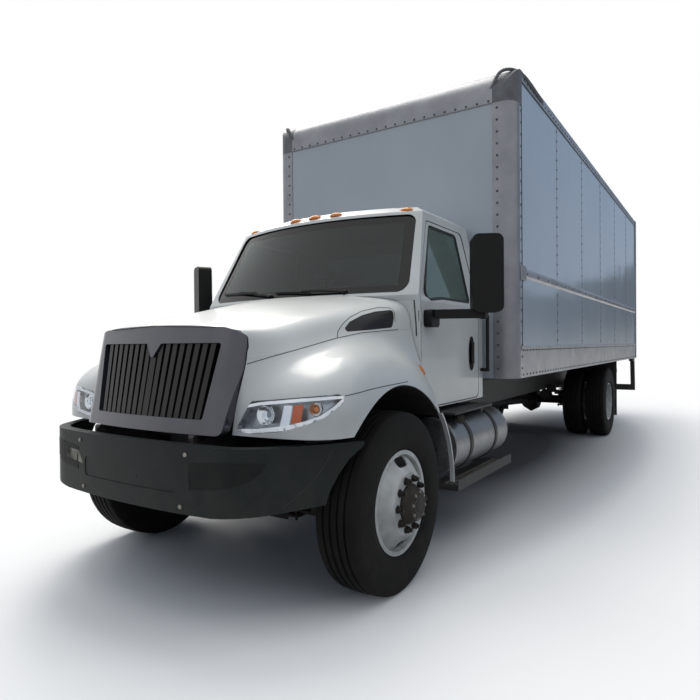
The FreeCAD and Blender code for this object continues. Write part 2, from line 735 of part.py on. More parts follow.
def nose_block(offset):
    """All that lies ahead of the grille's face, which is bowed, raked and swept back at its corners."""
    low = hood_base_height - overrun
    foot = grille_foot_station + offset

    def spot(side, x, back):
        return at(side * x, foot + back, low)

    edges = [Part.Arc(spot(-1, nose_corner_start, nose_bow), spot(1, 0, 0),
                      spot(1, nose_corner_start, nose_bow)).toShape()]
    for side in both_sides:
        start = spot(side, nose_corner_start, nose_bow)
        end = spot(side, *nose_corner_end)
        flank = spot(side, *nose_side)
        edges.append(Part.Arc(start, spot(side, *nose_corner_middle), end).toShape())
        edges.append(Part.LineSegment(end, flank).toShape())
        edges.append(Part.LineSegment(flank, spot(side, nose_side[0], -front_overhang)).toShape())
    edges.append(Part.LineSegment(spot(-1, nose_side[0], -front_overhang),
                                  spot(1, nose_side[0], -front_overhang)).toShape())
    rise = hood_rise + 2 * overrun
    outline = Part.Wire(Part.__sortEdges__(edges))
    return Part.Face(outline).extrude(FreeCAD.Vector(0, rise * grille_rake, rise))


def wheel_arch():
    return rod(at(-fender_half_width * 2, arch_station, arch_height),
               at(fender_half_width * 2, arch_station, arch_height), arch_radius)


def seam_slab():
    low = list(zip(seam_stations, seam_heights))
    high = [(station, height + seam_gap) for station, height in reversed(low)]
    return across(low + high, (seam_inner, fender_half_width + overrun))


def grown_outline(outline, gap):
    """The outline with each edge moved outward by the gap."""
    spots = [FreeCAD.Vector(a, z, 0) for a, z in outline]
    turning = sum(spot.cross(after).z for spot, after in zip(spots, spots[1:] + spots[:1]))
    axis = FreeCAD.Vector(0, 0, math.copysign(1, turning))
    grown = []
    for before, spot, after in zip(spots[-1:] + spots[:-1], spots, spots[1:] + spots[:1]):
        first = (spot - before).cross(axis).normalize()
        second = (after - spot).cross(axis).normalize()
        corner = spot + (first + second) * (gap / (1 + first.dot(second)))
        grown.append((corner.x, corner.y))
    return grown


def lamp_prism(gap):
    return along(grown_outline(lamp_outline, gap), (-front_overhang, lamp_rear_station), lamp_corner_radius)


def intake_prism(gap):
    return across(grown_outline(intake_outline, gap), (intake_inner, fender_half_width), lamp_corner_radius)


def arch_lip():
    """The fender's rolled edge, which runs on down behind the wheel."""
    inner_x = fender_half_width - arch_lip_width
    ring = rod(at(inner_x, arch_station, arch_height), at(fender_half_width, arch_station, arch_height),
               arch_radius + arch_lip_thickness)
    ring = ring.cut(wheel_arch())
    keep = block((inner_x, fender_half_width), (arch_station, arch_station + 2 * arch_radius),
                 (arch_lip_end, hood_base_height + 2 * panel_thickness))
    return ring.common(keep)


def hood_panels():
    """The hood, one fender and the lens of one headlamp, parted from the same skin."""
    skin = hood_skin(panel_thickness)
    lens = skin.common(lamp_prism(0))
    skin = skin.cut(wheel_arch())
    skin = skin.cut(surround_prism(seat_clearance).common(nose_block(surround_depth + seat_clearance)))
    skin = skin.cut(cab_volume(-shut_gap, hood_base_height - overrun))
    for tool in pair(lamp_prism(seat_clearance)) + pair(intake_prism(seat_clearance)) + pair(seam_slab()):
        skin = skin.cut(tool)
    solids = sorted(skin.Solids, key=lambda solid: solid.Volume)
    hood = solids[-1]
    smallest = panel_thickness ** 3
    fenders = [solid for solid in solids[:-1] if solid.CenterOfMass.x > 0 and solid.Volume > smallest]
    fender = fused(fenders + [arch_lip()])
    return hood, fender, lens


# Grille
grille_foot_station = -912.0
grille_rake = 0.205  # how far the face leans back for each unit of height
nose_bow = 37.0  # how far back the face is where its corner starts
nose_corner_start = 520.0
nose_corner_middle = (580.0, 64.0)
nose_corner_end = (622.0, 139.0)
nose_side = (760.0, 560.0)
surround_depth = 60.0
surround_outline = ((0.0, 1548.0), (500.0, 1530.0), (575.0, 1512.0), (618.0, 1478.0), (626.0, 1425.0),
                    (622.0, 1374.0), (612.0, 1289.0), (598.0, 1202.0), (582.0, 1100.0), (566.0, 972.0))
opening_top = 1446.0
opening_bottom = 1048.0
opening_top_half = 502.0
opening_bottom_half = 445.0
opening_radius = 45.0
notch_half_width = 60.0
notch_depth = 90.0
bars_each_side = 9
bar_width = 34.0
bar_front_setback = 12.0
centre_bar_width = 46.0
grille_rail_height = 20.0
grille_rail_shares = (0.14, 0.5, 0.86)


def surround_prism(gap):
    half = []
    for x, z in surround_outline:
        lift = gap if z > opening_top else -gap if z < opening_bottom else 0
        half.append((x + gap if x else x, z + lift))
    points = half + [(-x, z) for x, z in reversed(half[1:])]
    return along(points, (-2 * front_overhang, 0), surround_depth / 2)


def opening_prism(gap):
    corners = [(-opening_top_half - gap, opening_top + gap), (-notch_half_width, opening_top + gap),
               (0, opening_top + gap - notch_depth), (notch_half_width, opening_top + gap),
               (opening_top_half + gap, opening_top + gap),
               (opening_bottom_half + gap, opening_bottom - gap),
               (-opening_bottom_half - gap, opening_bottom - gap)]
    return along(corners, (-2 * front_overhang, 0), opening_radius / 3)


def grille_surround():
    frame = surround_prism(0).common(nose_block(surround_depth).cut(nose_block(0)))
    return frame.cut(opening_prism(0))


def grille_bars():
    """Upright bars that lean with the sides of the opening, on cross rails behind them."""
    count = 2 * bars_each_side
    prisms = []
    for i in range(1, count):
        share = i / bars_each_side - 1
        wide = centre_bar_width if i == bars_each_side else bar_width
        top_x = share * opening_top_half
        low_x = share * opening_bottom_half
        low = opening_bottom - overrun
        high = opening_top + overrun
        prisms.append(along([(low_x - wide / 2, low), (low_x + wide / 2, low), (top_x + wide / 2, high),
                             (top_x - wide / 2, high)], (-2 * front_overhang, 0)))
    front = nose_block(surround_depth - grille_rail_height).cut(nose_block(bar_front_setback))
    bars = Part.makeCompound(prisms).common(front)
    back = nose_block(surround_depth).cut(nose_block(surround_depth - grille_rail_height))
    rails = []
    for share in grille_rail_shares:
        low = opening_bottom + share * (opening_top - opening_bottom) - grille_rail_height / 2
        wide = opening_bottom_half + share * (opening_top_half - opening_bottom_half)
        rails.append(along([(-wide, low), (wide, low), (wide, low + grille_rail_height),
                            (-wide, low + grille_rail_height)], (-2 * front_overhang, 0)).common(back))
    inside = opening_prism(-seat_clearance)
    return fused([solid.common(inside) for solid in bars.Solids] + [rail.common(inside) for rail in rails])


def headlamp(lens):
    """The lamp's lens, and the bowl behind it that runs back under the fender."""
    bowl_face = surface_from(hood_rows(panel_thickness + seat_clearance)).toShape().common(lamp_prism(0))
    bowl = bowl_face.Faces[0].extrude(FreeCAD.Vector(-lamp_lean_share * lamp_depth, lamp_depth, 0))
    keep_off = surround_prism(seat_clearance).common(nose_block(surround_depth + seat_clearance))
    return group([lens.cut(keep_off), bowl.cut(keep_off)])


def intake_louvre():
    vent = hood_face().common(intake_prism(0)).Faces[0]
    vent.translate(FreeCAD.Vector(-intake_setback, 0, 0))
    return vent.extrude(FreeCAD.Vector(intake_setback - intake_depth, 0, 0))


# Wheel liners on the hood, and the splash shields that stay on the chassis
liner_thickness = 6.0
liner_inner = 560.0
liner_front_angle = 136.0
liner_rear_angle = 42.0
shield_gap_angle = 2.0
shield_rear_low_angle = -4.0
shield_front_low_angle = 176.0
shield_front_outer = 860.0
sector_steps = 6
hinge_arm_thickness = 14.0


def arch_sector(inner_radius, outer_radius, x_pair, low_angle, high_angle):
    """Part of a ring round the arch's centre, between two angles above level, measured at the rear."""
    ring = rod(at(x_pair[0], arch_station, arch_height), at(x_pair[1], arch_station, arch_height),
               outer_radius)
    ring = ring.cut(rod(at(x_pair[0] - overrun, arch_station, arch_height),
                        at(x_pair[1] + overrun, arch_station, arch_height), inner_radius))
    reach = outer_radius * 3
    fan = [(arch_station, arch_height)]
    for i in range(sector_steps + 1):
        angle = math.radians(low_angle + (high_angle - low_angle) * i / sector_steps)
        fan.append((arch_station + reach * math.cos(angle), arch_height + reach * math.sin(angle)))
    return ring.common(across(fan, x_pair))


def wheel_liner():
    outer = arch_radius - seat_clearance
    wide = fender_half_width - arch_lip_width
    return arch_sector(outer - liner_thickness, outer, (liner_inner, wide), liner_rear_angle,
                       liner_front_angle)


def splash_shields():
    """Shields behind and ahead of one front wheel, which seat on the frame rail."""
    outer = arch_radius - seat_clearance
    inner = outer - liner_thickness
    rail_side = frame_width / 2 + seat_clearance
    rear = arch_sector(inner, outer, (rail_side, cab_half_width - overrun), shield_rear_low_angle,
                       liner_rear_angle - shield_gap_angle)
    front = arch_sector(inner, outer, (rail_side, shield_front_outer),
                        liner_front_angle + 2 * shield_gap_angle,
                        shield_front_low_angle)
    return [rear, front]


def hood_hinges():
    """Arms from the grille surround down to the pivot pins, just inside the brackets' ears."""
    outer = rail_inner - bracket_thickness - 3 * seat_clearance
    inner = outer - hinge_arm_thickness
    back = grille_foot_station + surround_depth + nose_bow / 2
    profile = [(hood_pivot_station, hood_pivot_height - hood_ear_radius),
               (back + 2 * hood_ear_radius, hood_pivot_height - hood_ear_radius),
               (back + 4 * hood_ear_radius, opening_bottom), (back - hood_ear_radius, opening_bottom),
               (back - 2 * hood_ear_radius, hood_pivot_height + hood_ear_radius - seat_clearance),
               (hood_pivot_station, hood_pivot_height + hood_ear_radius)]
    surround = surround_prism(seat_clearance).common(nose_block(surround_depth + seat_clearance))
    arm = across(profile, (inner, outer)).cut(surround)
    pin = rod(at(inner, hood_pivot_station, hood_pivot_height),
              at(outer + bracket_thickness, hood_pivot_station, hood_pivot_height), hood_pin_radius)
    foot = rod(at(inner, hood_pivot_station, hood_pivot_height),
               at(outer, hood_pivot_station, hood_pivot_height),
               hood_ear_radius)
    return group(pair(fused([arm, foot, pin])))


# Cab
cab_floor_height = 1060.0
cab_base_height = 985.0
cab_front_station = 548.0
cab_rear_station = 1715.0
belt_height = 1765.0
cowl_bow = 140.0
cab_wall = 48.0
roof_edge_height = 2400.0
roof_crown_height = 2455.0
roof_edge_half = 868.0
roof_edge_front_station = 872.0
roof_edge_bow = 190.0
roof_inset = 90.0
roof_rear_inset = 40.0
door_front_station = 567.0
door_rear_station = 1620.0
door_bottom = 1000.0
door_top = 2330.0
door_top_front_station = 900.0
door_top_rear_station = 1530.0
door_rear_lean_gap = 22.0
door_thickness = 48.0
window_shares = ((.10, .06), (.155, -.04), (.36, .0), (.84, .0), (.80, .93), (.35, .93))
glass_thickness = 6.0
glass_inset = 14.0
seal_lap = 14.0
windscreen_low = 1800.0
windscreen_high = 2362.0
windscreen_low_half = 905.0
windscreen_high_half = 820.0
windscreen_radius = 60.0
back_window_low = 1800.0
back_window_high = 2250.0
back_window_half = 560.0
hinge_axis_inset = 3.0  # from the cab's side in to the door's hinge axis
hinge_pin_radius = 4.0
hinge_barrel_radius = 6.0
hinge_barrel_height = 70.0
hinge_heights = (1180.0, 1620.0)


def cab_section(height, half, front, bow, rear, inset, end_inset):
    """A level section of the cab: straight back and sides, and a bowed front."""
    half -= inset
    front += end_inset
    rear -= end_inset
    edges = [Part.LineSegment(at(-half, rear, height), at(half, rear, height)).toShape(),
             Part.LineSegment(at(half, rear, height), at(half, front, height)).toShape(),
             Part.Arc(at(half, front, height), at(0, front - bow, height),
                      at(-half, front, height)).toShape(),
             Part.LineSegment(at(-half, front, height), at(-half, rear, height)).toShape()]
    return Part.Wire(edges)


def cab_volume(inset, floor, end_inset=None):
    """The cab's outer form drawn in by the inset, at its ends by the end inset, from a floor height up."""
    end_inset = inset if end_inset is None else end_inset
    front = cab_front_station
    rear = cab_rear_station
    crown_front = roof_edge_front_station + roof_inset
    rows = [(floor, cab_half_width, front, seat_clearance, rear),
            (belt_height - overrun, cab_half_width, front, cowl_bow / 2, rear),
            (belt_height, cab_half_width - overrun / 4, front, cowl_bow, rear),
            (roof_edge_height - inset, roof_edge_half, roof_edge_front_station, roof_edge_bow,
             rear - roof_rear_inset / 2),
            (roof_crown_height - inset, roof_edge_half - roof_inset, crown_front, roof_edge_bow,
             rear - roof_rear_inset * 2)]
    sections = [cab_section(*row, inset, end_inset) for row in rows]
    return Part.makeLoft(sections, True, True)


def door_outline(gap):
    return [(door_front_station - gap, door_bottom - gap), (door_front_station - gap, belt_height),
            (door_top_front_station - gap, door_top + gap),
            (door_top_rear_station + (door_rear_lean_gap if gap else 0), door_top + gap),
            (door_rear_station + gap, belt_height), (door_rear_station + gap, door_bottom - gap)]


def window_outline(grow):
    """The side window, in shares of the door's length and of the height from the belt to the door's top."""
    length = door_rear_station - door_front_station
    rise = door_top - belt_height
    centre_s = door_front_station + length / 2
    centre_z = belt_height + rise / 2
    points = []
    for s_share, z_share in window_shares:
        station = door_front_station + s_share * length
        height = belt_height + z_share * rise
        points.append((station + math.copysign(grow, station - centre_s),
                       height + math.copysign(grow, height - centre_z)))
    return points


def windscreen_outline(grow):
    low = windscreen_low_half + grow
    high = windscreen_high_half + grow
    return [(-low, windscreen_low - grow), (low, windscreen_low - grow), (high, windscreen_high + grow),
            (-high, windscreen_high + grow)]


def back_window_outline(grow):
    half = back_window_half + grow
    return [(-half, back_window_low - grow), (half, back_window_low - grow), (half, back_window_high + grow),
            (-half, back_window_high + grow)]


def hinge_place():
    """The door's hinge axis, in the middle of the strip of cab ahead of the door."""
    return cab_half_width - hinge_axis_inset, (cab_front_station + door_front_station - shut_gap) / 2


def hinge_pins():
    """The pins of the left door's hinges, and the pockets that the door's barrels turn in."""
    x, station = hinge_place()
    room = hinge_barrel_radius + hinge_axis_inset
    pins = []
    pockets = []
    for height in hinge_heights:
        low = height - hinge_barrel_height / 2
        high = height + hinge_barrel_height / 2
        pins.append(rod(at(x, station, low - overrun / 2), at(x, station, high + overrun / 2),
                        hinge_pin_radius))
        pockets.append(block((x - room, x + overrun), (cab_front_station - overrun, door_front_station),
                             (low - seat_clearance, high + seat_clearance)))
    return pins, pockets


def hinge_barrels():
    """The left door's hinge barrels, each with the leaf that joins it to the door."""
    x, station = hinge_place()
    parts = []
    for height in hinge_heights:
        low = height - hinge_barrel_height / 2
        high = height + hinge_barrel_height / 2
        barrel = rod(at(x, station, low), at(x, station, high), hinge_barrel_radius)
        leaf = block((x - hinge_barrel_radius, x + hinge_axis_inset),
                     (station, door_front_station + shut_gap),
                     (low, high))
        bore = rod(at(x, station, low - overrun), at(x, station, high + overrun),
                   hinge_pin_radius + running_clearance)
        parts.append(barrel.fuse(leaf).cut(bore))
    return parts


def cab_shell():
    outer = cab_volume(0, cab_base_height)
    shell = outer.cut(cab_volume(cab_wall, cab_floor_height))
    side_reach = (cab_half_width / 2, cab_half_width + overrun)
    side_layer = side_panel(-overrun, overrun + door_thickness + shut_gap)
    pins, pockets = hinge_pins()
    for tool in pair(side_layer.common(across(door_outline(shut_gap), side_reach, windscreen_radius))):
        shell = shell.cut(tool)
    for pocket in pockets:
        for tool in pair(pocket):
            shell = shell.cut(tool)
    middle = (cab_front_station + cab_rear_station) / 2
    shell = shell.cut(along(windscreen_outline(0), (0, middle), windscreen_radius))
    shell = shell.cut(along(back_window_outline(0), (middle, cab_rear_station + overrun), windscreen_radius))
    rebate = outer.cut(cab_volume(glass_inset, cab_base_height - overrun))
    rebate_front = rebate.common(along(windscreen_outline(seal_lap), (0, middle),
                                       windscreen_radius + seal_lap))
    rebate_back = rebate.common(along(back_window_outline(seal_lap), (middle, cab_rear_station + overrun),
                                      windscreen_radius + seal_lap))
    rail_side = frame_width / 2 + overrun
    tunnel = block((-rail_side, rail_side), (0, cab_rear_station + overrun),
                   (cab_base_height - overrun, frame_top_height + seat_clearance))
    shell = shell.cut(rebate_front).cut(rebate_back).cut(tunnel)
    return fused([shell] + [solid for pin in pins for solid in pair(pin)])


def cab_layer(depth, thickness):
    """A skin of the given thickness, at the given depth below the cab's outer form."""
    outer = cab_volume(depth, cab_base_height - overrun)
    return outer.cut(cab_volume(depth + thickness, cab_base_height - 2 * overrun))


def side_panel(depth, thickness):
    """The same skin along the cab's sides only."""
    outer = cab_volume(depth, cab_base_height - overrun)
    return outer.cut(cab_volume(depth + thickness, cab_base_height - 2 * overrun, -2 * overrun))


def cab_glass():
    middle = (cab_front_station + cab_rear_station) / 2
    layer = cab_layer(glass_inset - glass_thickness - seat_clearance, glass_thickness)
    lap = seal_lap - seat_clearance
    front = layer.common(along(windscreen_outline(lap), (0, middle), windscreen_radius + lap))
    back = layer.common(along(back_window_outline(lap), (middle, cab_rear_station + overrun),
                              windscreen_radius + lap))
    return group([front, back])


def door():
    reach = (cab_half_width / 2, cab_half_width + overrun)
    panel = side_panel(0, door_thickness).common(across(door_outline(0), reach, windscreen_radius))
    panel = panel.cut(across(window_outline(0), reach, windscreen_radius / 2))
    rebate = side_panel(-overrun, overrun + glass_inset)
    panel = panel.cut(rebate.common(across(window_outline(seal_lap), reach,
                                           windscreen_radius / 2 + seal_lap)))
    return fused([panel] + hinge_barrels())


def door_glass():
    reach = (cab_half_width / 2, cab_half_width + overrun)
    layer = side_panel(glass_inset - glass_thickness - seat_clearance, glass_thickness)
    lap = seal_lap - seat_clearance
    return layer.common(across(window_outline(lap), reach, windscreen_radius / 2 + lap))


# Mirrors
mirror_centre = 1366.0
mirror_width = 205.0
mirror_turn = 30.0  # degrees that the head is turned in towards the driver
mirror_station = 812.0
mirror_low = 1640.0
mirror_high = 2160.0
mirror_depth = 120.0
mirror_radius = 45.0
arm_pad_stations = (600.0, 730.0)
arm_pad_heights = (1545.0, 1665.0)
arm_pad_thickness = 60.0
arm_height = 62.0
arm_depth = 50.0


def mirror():
    """The mirror's head on its arm, with the pad that bolts to the door."""
    inner = mirror_centre - mirror_width / 2
    outer = mirror_centre + mirror_width / 2
    head = along([(inner, mirror_low), (outer, mirror_low), (outer, mirror_high), (inner, mirror_high)],
                 (mirror_station - mirror_depth / 2, mirror_station + mirror_depth / 2), mirror_radius)
    head.rotate(at(mirror_centre, mirror_station, 0), FreeCAD.Vector(0, 0, 1), mirror_turn)
    pad_low, pad_high = arm_pad_heights
    pad_front, pad_back = arm_pad_stations
    face = cab_half_width + seat_clearance
    pad = across([(pad_front, pad_low), (pad_back, pad_low), (pad_back, pad_high), (pad_front, pad_high)],
                 (face, face + arm_pad_thickness), arm_height / 2)
    arm_low = pad_high - arm_height - seat_clearance
    pad_mid = (pad_front + pad_back) / 2
    root_x = face + arm_pad_thickness / 2
    half = arm_depth / 2
    arm = upright([(root_x, pad_mid - half), (mirror_centre, mirror_station - half),
                   (mirror_centre, mirror_station + half), (root_x, pad_mid + half)],
                  (arm_low, arm_low + arm_height))
    return fused([head, pad, arm])


# Cab interior
seat_width = 500.0
seat_depth = 480.0
seat_front_station = 960.0
seat_height = 1450.0
seat_cushion = 120.0
seat_back_height = 700.0
seat_back_thickness = 130.0
seat_back_lean = 60.0
seat_centre = 480.0
seat_base_width = 360.0
dash_low = 1380.0
dash_high = 1740.0
dash_depth = 260.0
column_radius = 28.0
steering_wheel_radius = 225.0
steering_rim_radius = 15.0
steering_rim_sides = 6
steering_centre_station = 985.0
steering_centre_height = 1700.0


def seat(centre):
    left = centre - seat_width / 2
    right = centre + seat_width / 2
    cushion_top = seat_height
    cushion_low = seat_height - seat_cushion
    back_front = seat_front_station + seat_depth
    outline = [(seat_front_station, cushion_low), (back_front + seat_back_thickness, cushion_low),
               (back_front + seat_back_thickness + seat_back_lean, cushion_top + seat_back_height),
               (back_front + seat_back_lean, cushion_top + seat_back_height), (back_front, cushion_top),
               (seat_front_station, cushion_top)]
    return across(outline, (left, right), seat_cushion / 3)


def seat_base(centre):
    half = seat_base_width / 2
    return block((centre - half, centre + half),
                 (seat_front_station + seat_cushion / 2, seat_front_station + seat_depth),
                 (cab_floor_height + seat_clearance, seat_height - seat_cushion - seat_clearance))


def dashboard():
    """The dash across the cab, with the steering column and its wheel."""
    half = cab_half_width - cab_wall - 2 * shut_gap
    front = cab_front_station + cab_wall + seat_clearance
    ahead = front - cowl_bow
    profile = [(ahead, dash_low), (ahead, dash_high), (front + dash_depth, dash_high - overrun),
               (front + dash_depth, dash_low + overrun), (front + dash_depth / 2, dash_low)]
    dash = across(profile, (-half, half)).common(cab_volume(cab_wall + seat_clearance, cab_floor_height))
    centre = at(seat_centre, steering_centre_station, steering_centre_height)
    foot = at(seat_centre, front + dash_depth / 2, dash_low + (dash_high - dash_low) / 2)
    column = rod(foot, centre, column_radius)
    axis = centre - foot
    axis.normalize()
    radial = axis.cross(FreeCAD.Vector(1, 0, 0))
    radial.normalize()
    rim = []
    for i in range(steering_rim_sides):
        angle = 2 * math.pi * i / steering_rim_sides
        rim.append(centre + radial * (steering_wheel_radius + steering_rim_radius * math.cos(angle))
                   + axis * (steering_rim_radius * math.sin(angle)))
    wheel = closed_face(rim).revolve(centre, axis, full_turn)
    cross = FreeCAD.Vector(1, 0, 0)
    spokes = [rod(centre - cross * steering_wheel_radius, centre + cross * steering_wheel_radius,
                  steering_rim_radius * spoke_share)]
    lower = cross.cross(axis)
    lower.normalize()
    spokes.append(rod(centre, centre + lower * steering_wheel_radius, steering_rim_radius * spoke_share))
    return fused([dash, column, wheel] + spokes)


# Chassis side equipment
tank_radius = 205.0
tank_centre = 945.0
tank_front_station = 800.0
tank_rear_station = 1900.0
tank_height = 700.0
strap_width = 50.0
strap_thickness = 6.0
strap_shares = (0.26, 0.74)
step_thickness = 30.0
lower_step_height = 440.0
step_half_reach = 110.0
step_plate = 6.0
step_riser = 45.0
lower_step_stations = (800.0, 1960.0)
step_outer = 1160.0
battery_width = 420.0
battery_height = 330.0
battery_low = 560.0
battery_stations = (1250.0, 1900.0)
canister_radius = 150.0
canister_stations = (790.0, 1200.0)
bracket_share = 0.9
canister_offset_share = 1.6
spoke_share = 0.8


def fuel_tank():
    return rod(at(tank_centre, tank_front_station, tank_height),
               at(tank_centre, tank_rear_station, tank_height),
               tank_radius)


def tank_straps():
    """Two straps round the tank, each on a bracket that stands out from the frame rail."""
    parts = []
    length = tank_rear_station - tank_front_station
    inner = tank_radius + seat_clearance
    for share in strap_shares:
        start = tank_front_station + share * length - strap_width / 2
        ring = rod(at(tank_centre, start, tank_height), at(tank_centre, start + strap_width, tank_height),
                   inner + strap_thickness)
        bracket = block((frame_width / 2 + seat_clearance, tank_centre - tank_radius / 2),
                        (start, start + strap_width),
                        (tank_height - tank_radius * bracket_share, frame_top_height - overrun))
        cavity = rod(at(tank_centre, start - overrun, tank_height),
                     at(tank_centre, start + strap_width + overrun, tank_height), inner)
        parts.append(fused([ring, bracket]).cut(cavity))
    return group(parts)


def battery_box():
    outer = -step_outer
    inner = outer + battery_width
    box = along([(outer, battery_low), (inner, battery_low), (inner, battery_low + battery_height),
                 (outer, battery_low + battery_height)], battery_stations, overrun / 2)
    shelf = block((inner, -frame_width / 2 - seat_clearance), battery_stations,
                  (frame_bottom_height + rail_thickness, frame_bottom_height + frame_depth / 2))
    return fused([box, shelf])


def exhaust():
    """The exhaust canister under the right side of the cab and its tail pipe."""
    centre = -(frame_width / 2 + canister_radius * canister_offset_share)
    height = battery_low + canister_radius
    canister = rod(at(centre, canister_stations[0], height), at(centre, canister_stations[1], height),
                   canister_radius)
    bracket = block((centre, -frame_width / 2 - seat_clearance),
                    (canister_stations[0] + overrun, canister_stations[1] - overrun),
                    (height, frame_bottom_height + frame_depth / 2))
    return fused([canister, bracket])


def cab_steps():
    """A tread below each side's tank or box, with a riser and two hangers from the frame."""
    front, back = lower_step_stations
    tread = block((step_outer - 2 * step_half_reach, step_outer), (front, back),
                  (lower_step_height - step_thickness, lower_step_height))
    riser = block((step_outer - step_plate, step_outer), (front, back),
                  (lower_step_height - step_thickness, lower_step_height + step_riser))
    hangers = []
    foot = lower_step_height - step_thickness
    hanger_x = frame_width / 2 - rail_flange / 2
    for station in (front + step_half_reach, back - step_half_reach - step_thickness):
        hangers.append(block((hanger_x, step_outer - 2 * step_half_reach),
                             (station, station + step_thickness),
                             (foot, lower_step_height)))
        hangers.append(block((hanger_x, hanger_x + step_thickness), (station, station + step_thickness),
                             (foot, frame_bottom_height - seat_clearance)))
    return group(pair(fused([tread, riser] + hangers)))


# Rear equipment
mud_flap_low = 240.0
mud_flap_thickness = 10.0
mud_flap_setback = 620.0
mud_flap_hanger = 30.0
rear_bar_low = 500.0
rear_bar_height = 110.0
rear_bar_half = 1200.0
rear_bar_depth = 90.0
rear_post_width = 70.0
rear_post_centre = 1180.0
rear_step_depth = 60.0


def mud_flaps():
    station = rear_axle_station + mud_flap_setback
    inner = rear_wheel_centre - dual_spacing - tyre_width / 2
    outer = rear_wheel_centre + tyre_width / 2
    high = body_base_height - seat_clearance
    flap = block((inner, outer), (station, station + mud_flap_thickness), (mud_flap_low, high))
    hanger = block((frame_width / 2 + seat_clearance, outer),
                   (station + mud_flap_thickness, station + mud_flap_thickness + mud_flap_hanger),
                   (frame_top_height - mud_flap_hanger * 2, frame_top_height))
    return group(pair(fused([flap, hanger])))


def rear_step():
    """The rear guard: arms back from the sill, posts down to a low bar, and two struts from the frame."""
    rear = body_rear_station + rear_step_reach
    high = body_base_height - seat_clearance
    root = body_rear_station - rear_bar_depth
    bar_top = rear_bar_low + rear_bar_height
    bar = block((-rear_bar_half, rear_bar_half), (rear - rear_bar_depth, rear), (rear_bar_low, bar_top))
    parts = [bar]
    for side in both_sides:
        x0 = side * rear_post_centre - rear_post_width / 2
        post = [(root, high), (root, high - rear_step_depth),
                (body_rear_station + rear_bar_depth, high - rear_step_depth),
                (rear - rear_bar_depth, bar_top),
                (rear - rear_bar_depth, rear_bar_low), (rear, rear_bar_low), (rear, bar_top),
                (body_rear_station + 2 * rear_bar_depth, high)]
        parts.append(across(post, (x0, x0 + rear_post_width)))
        x0 = side * (frame_width / 2 - rail_flange / 2) - rear_post_width / 2
        low = frame_bottom_height - seat_clearance
        strut = [(root - 2 * rear_bar_depth, low), (root - 2 * rear_bar_depth, low - rear_step_depth),
                 (rear - rear_bar_depth, rear_bar_low), (rear, rear_bar_low), (rear, bar_top), (root, low)]
        parts.append(across(strut, (x0, x0 + rear_post_width)))
    return fused(parts)


# Load body
wall_thickness = 45.0
roof_thickness = 40.0
body_floor_thickness = 38.0
body_crossmember_height = 100.0
body_crossmember_width = 60.0
body_crossmember_count = 18
sill_width = 70.0
corner_post_width = 190.0
corner_post_radius = 120.0
corner_post_lap = 16.0  # how far the post laps the side panel
post_skin = 6.0
cap_height = 300.0
cap_radius = 200.0
casting_width = 190.0
top_rail_depth = 90.0
rear_frame_width = 130.0
rear_frame_depth = 110.0
header_height = 200.0
sill_height = 180.0
roll_door_thickness = 30.0
roll_door_setback = 50.0
roll_door_panels = 8
roll_door_groove = 8.0
mid_rail_height = 1990.0
mid_rail_depth = 86.0
lower_rail_height = 1370.0
lower_rail_depth = 44.0
rub_rail_stand = 14.0
bottom_rail_height = 233.0
bottom_rail_stand = 5.0
body_half = body_width / 2
side_panel_half = body_half - rub_rail_stand
floor_top = body_base_height + body_crossmember_height + body_floor_thickness
post_side = side_panel_half + post_skin
post_front = body_setback - post_skin
cap_low = body_roof_height - cap_height
cap_back = post_front + cap_radius


def box_floor():
    """The floor boards on cross bearers, with two long sills down to the frame."""
    inner = side_panel_half - wall_thickness - seat_clearance
    front = body_setback + wall_thickness + seat_clearance
    back = body_rear_station - rear_frame_depth - seat_clearance
    deck = block((-inner, inner), (front, back), (floor_top - body_floor_thickness, floor_top))
    bend = corner_post_radius - post_skin - wall_thickness - seat_clearance
    plan = rounded_plan(front, inner, back + overrun, bend, 0)
    bearers = []
    span = back - front - body_crossmember_width
    for i in range(body_crossmember_count):
        station = front + span * i / (body_crossmember_count - 1)
        bearers.append(block((-inner, inner), (station, station + body_crossmember_width),
                             (body_base_height, floor_top - body_floor_thickness)))
    sills = []
    for side in both_sides:
        centre = side * (frame_width / 2 - sill_width / 2)
        sills.append(block((centre - sill_width / 2, centre + sill_width / 2), (front, back),
                           (frame_top_height + seat_clearance, body_base_height)))
    return fused([deck] + bearers + sills).common(plan)


def box_side():
    """One side panel, cut away at its upper front corner for the corner casting."""
    front = post_front + corner_post_radius
    back = body_rear_station - rear_frame_depth - seat_clearance
    top = body_roof_height - roof_thickness - seat_clearance
    low = cap_low - seat_clearance
    outline = [(front, body_base_height), (front, low), (cap_back + seat_clearance, low),
               (cap_back + seat_clearance, top), (back, top), (back, body_base_height)]
    return across(outline, (side_panel_half - wall_thickness, side_panel_half))


def box_front_wall():
    half = post_side - corner_post_radius
    return block((-half, half), (body_setback, body_setback + wall_thickness),
                 (body_base_height, cap_low - seat_clearance))


def box_roof():
    back = body_rear_station - rear_frame_depth - seat_clearance
    return block((-side_panel_half, side_panel_half), (cap_back + seat_clearance, back),
                 (body_roof_height - roof_thickness, body_roof_height))


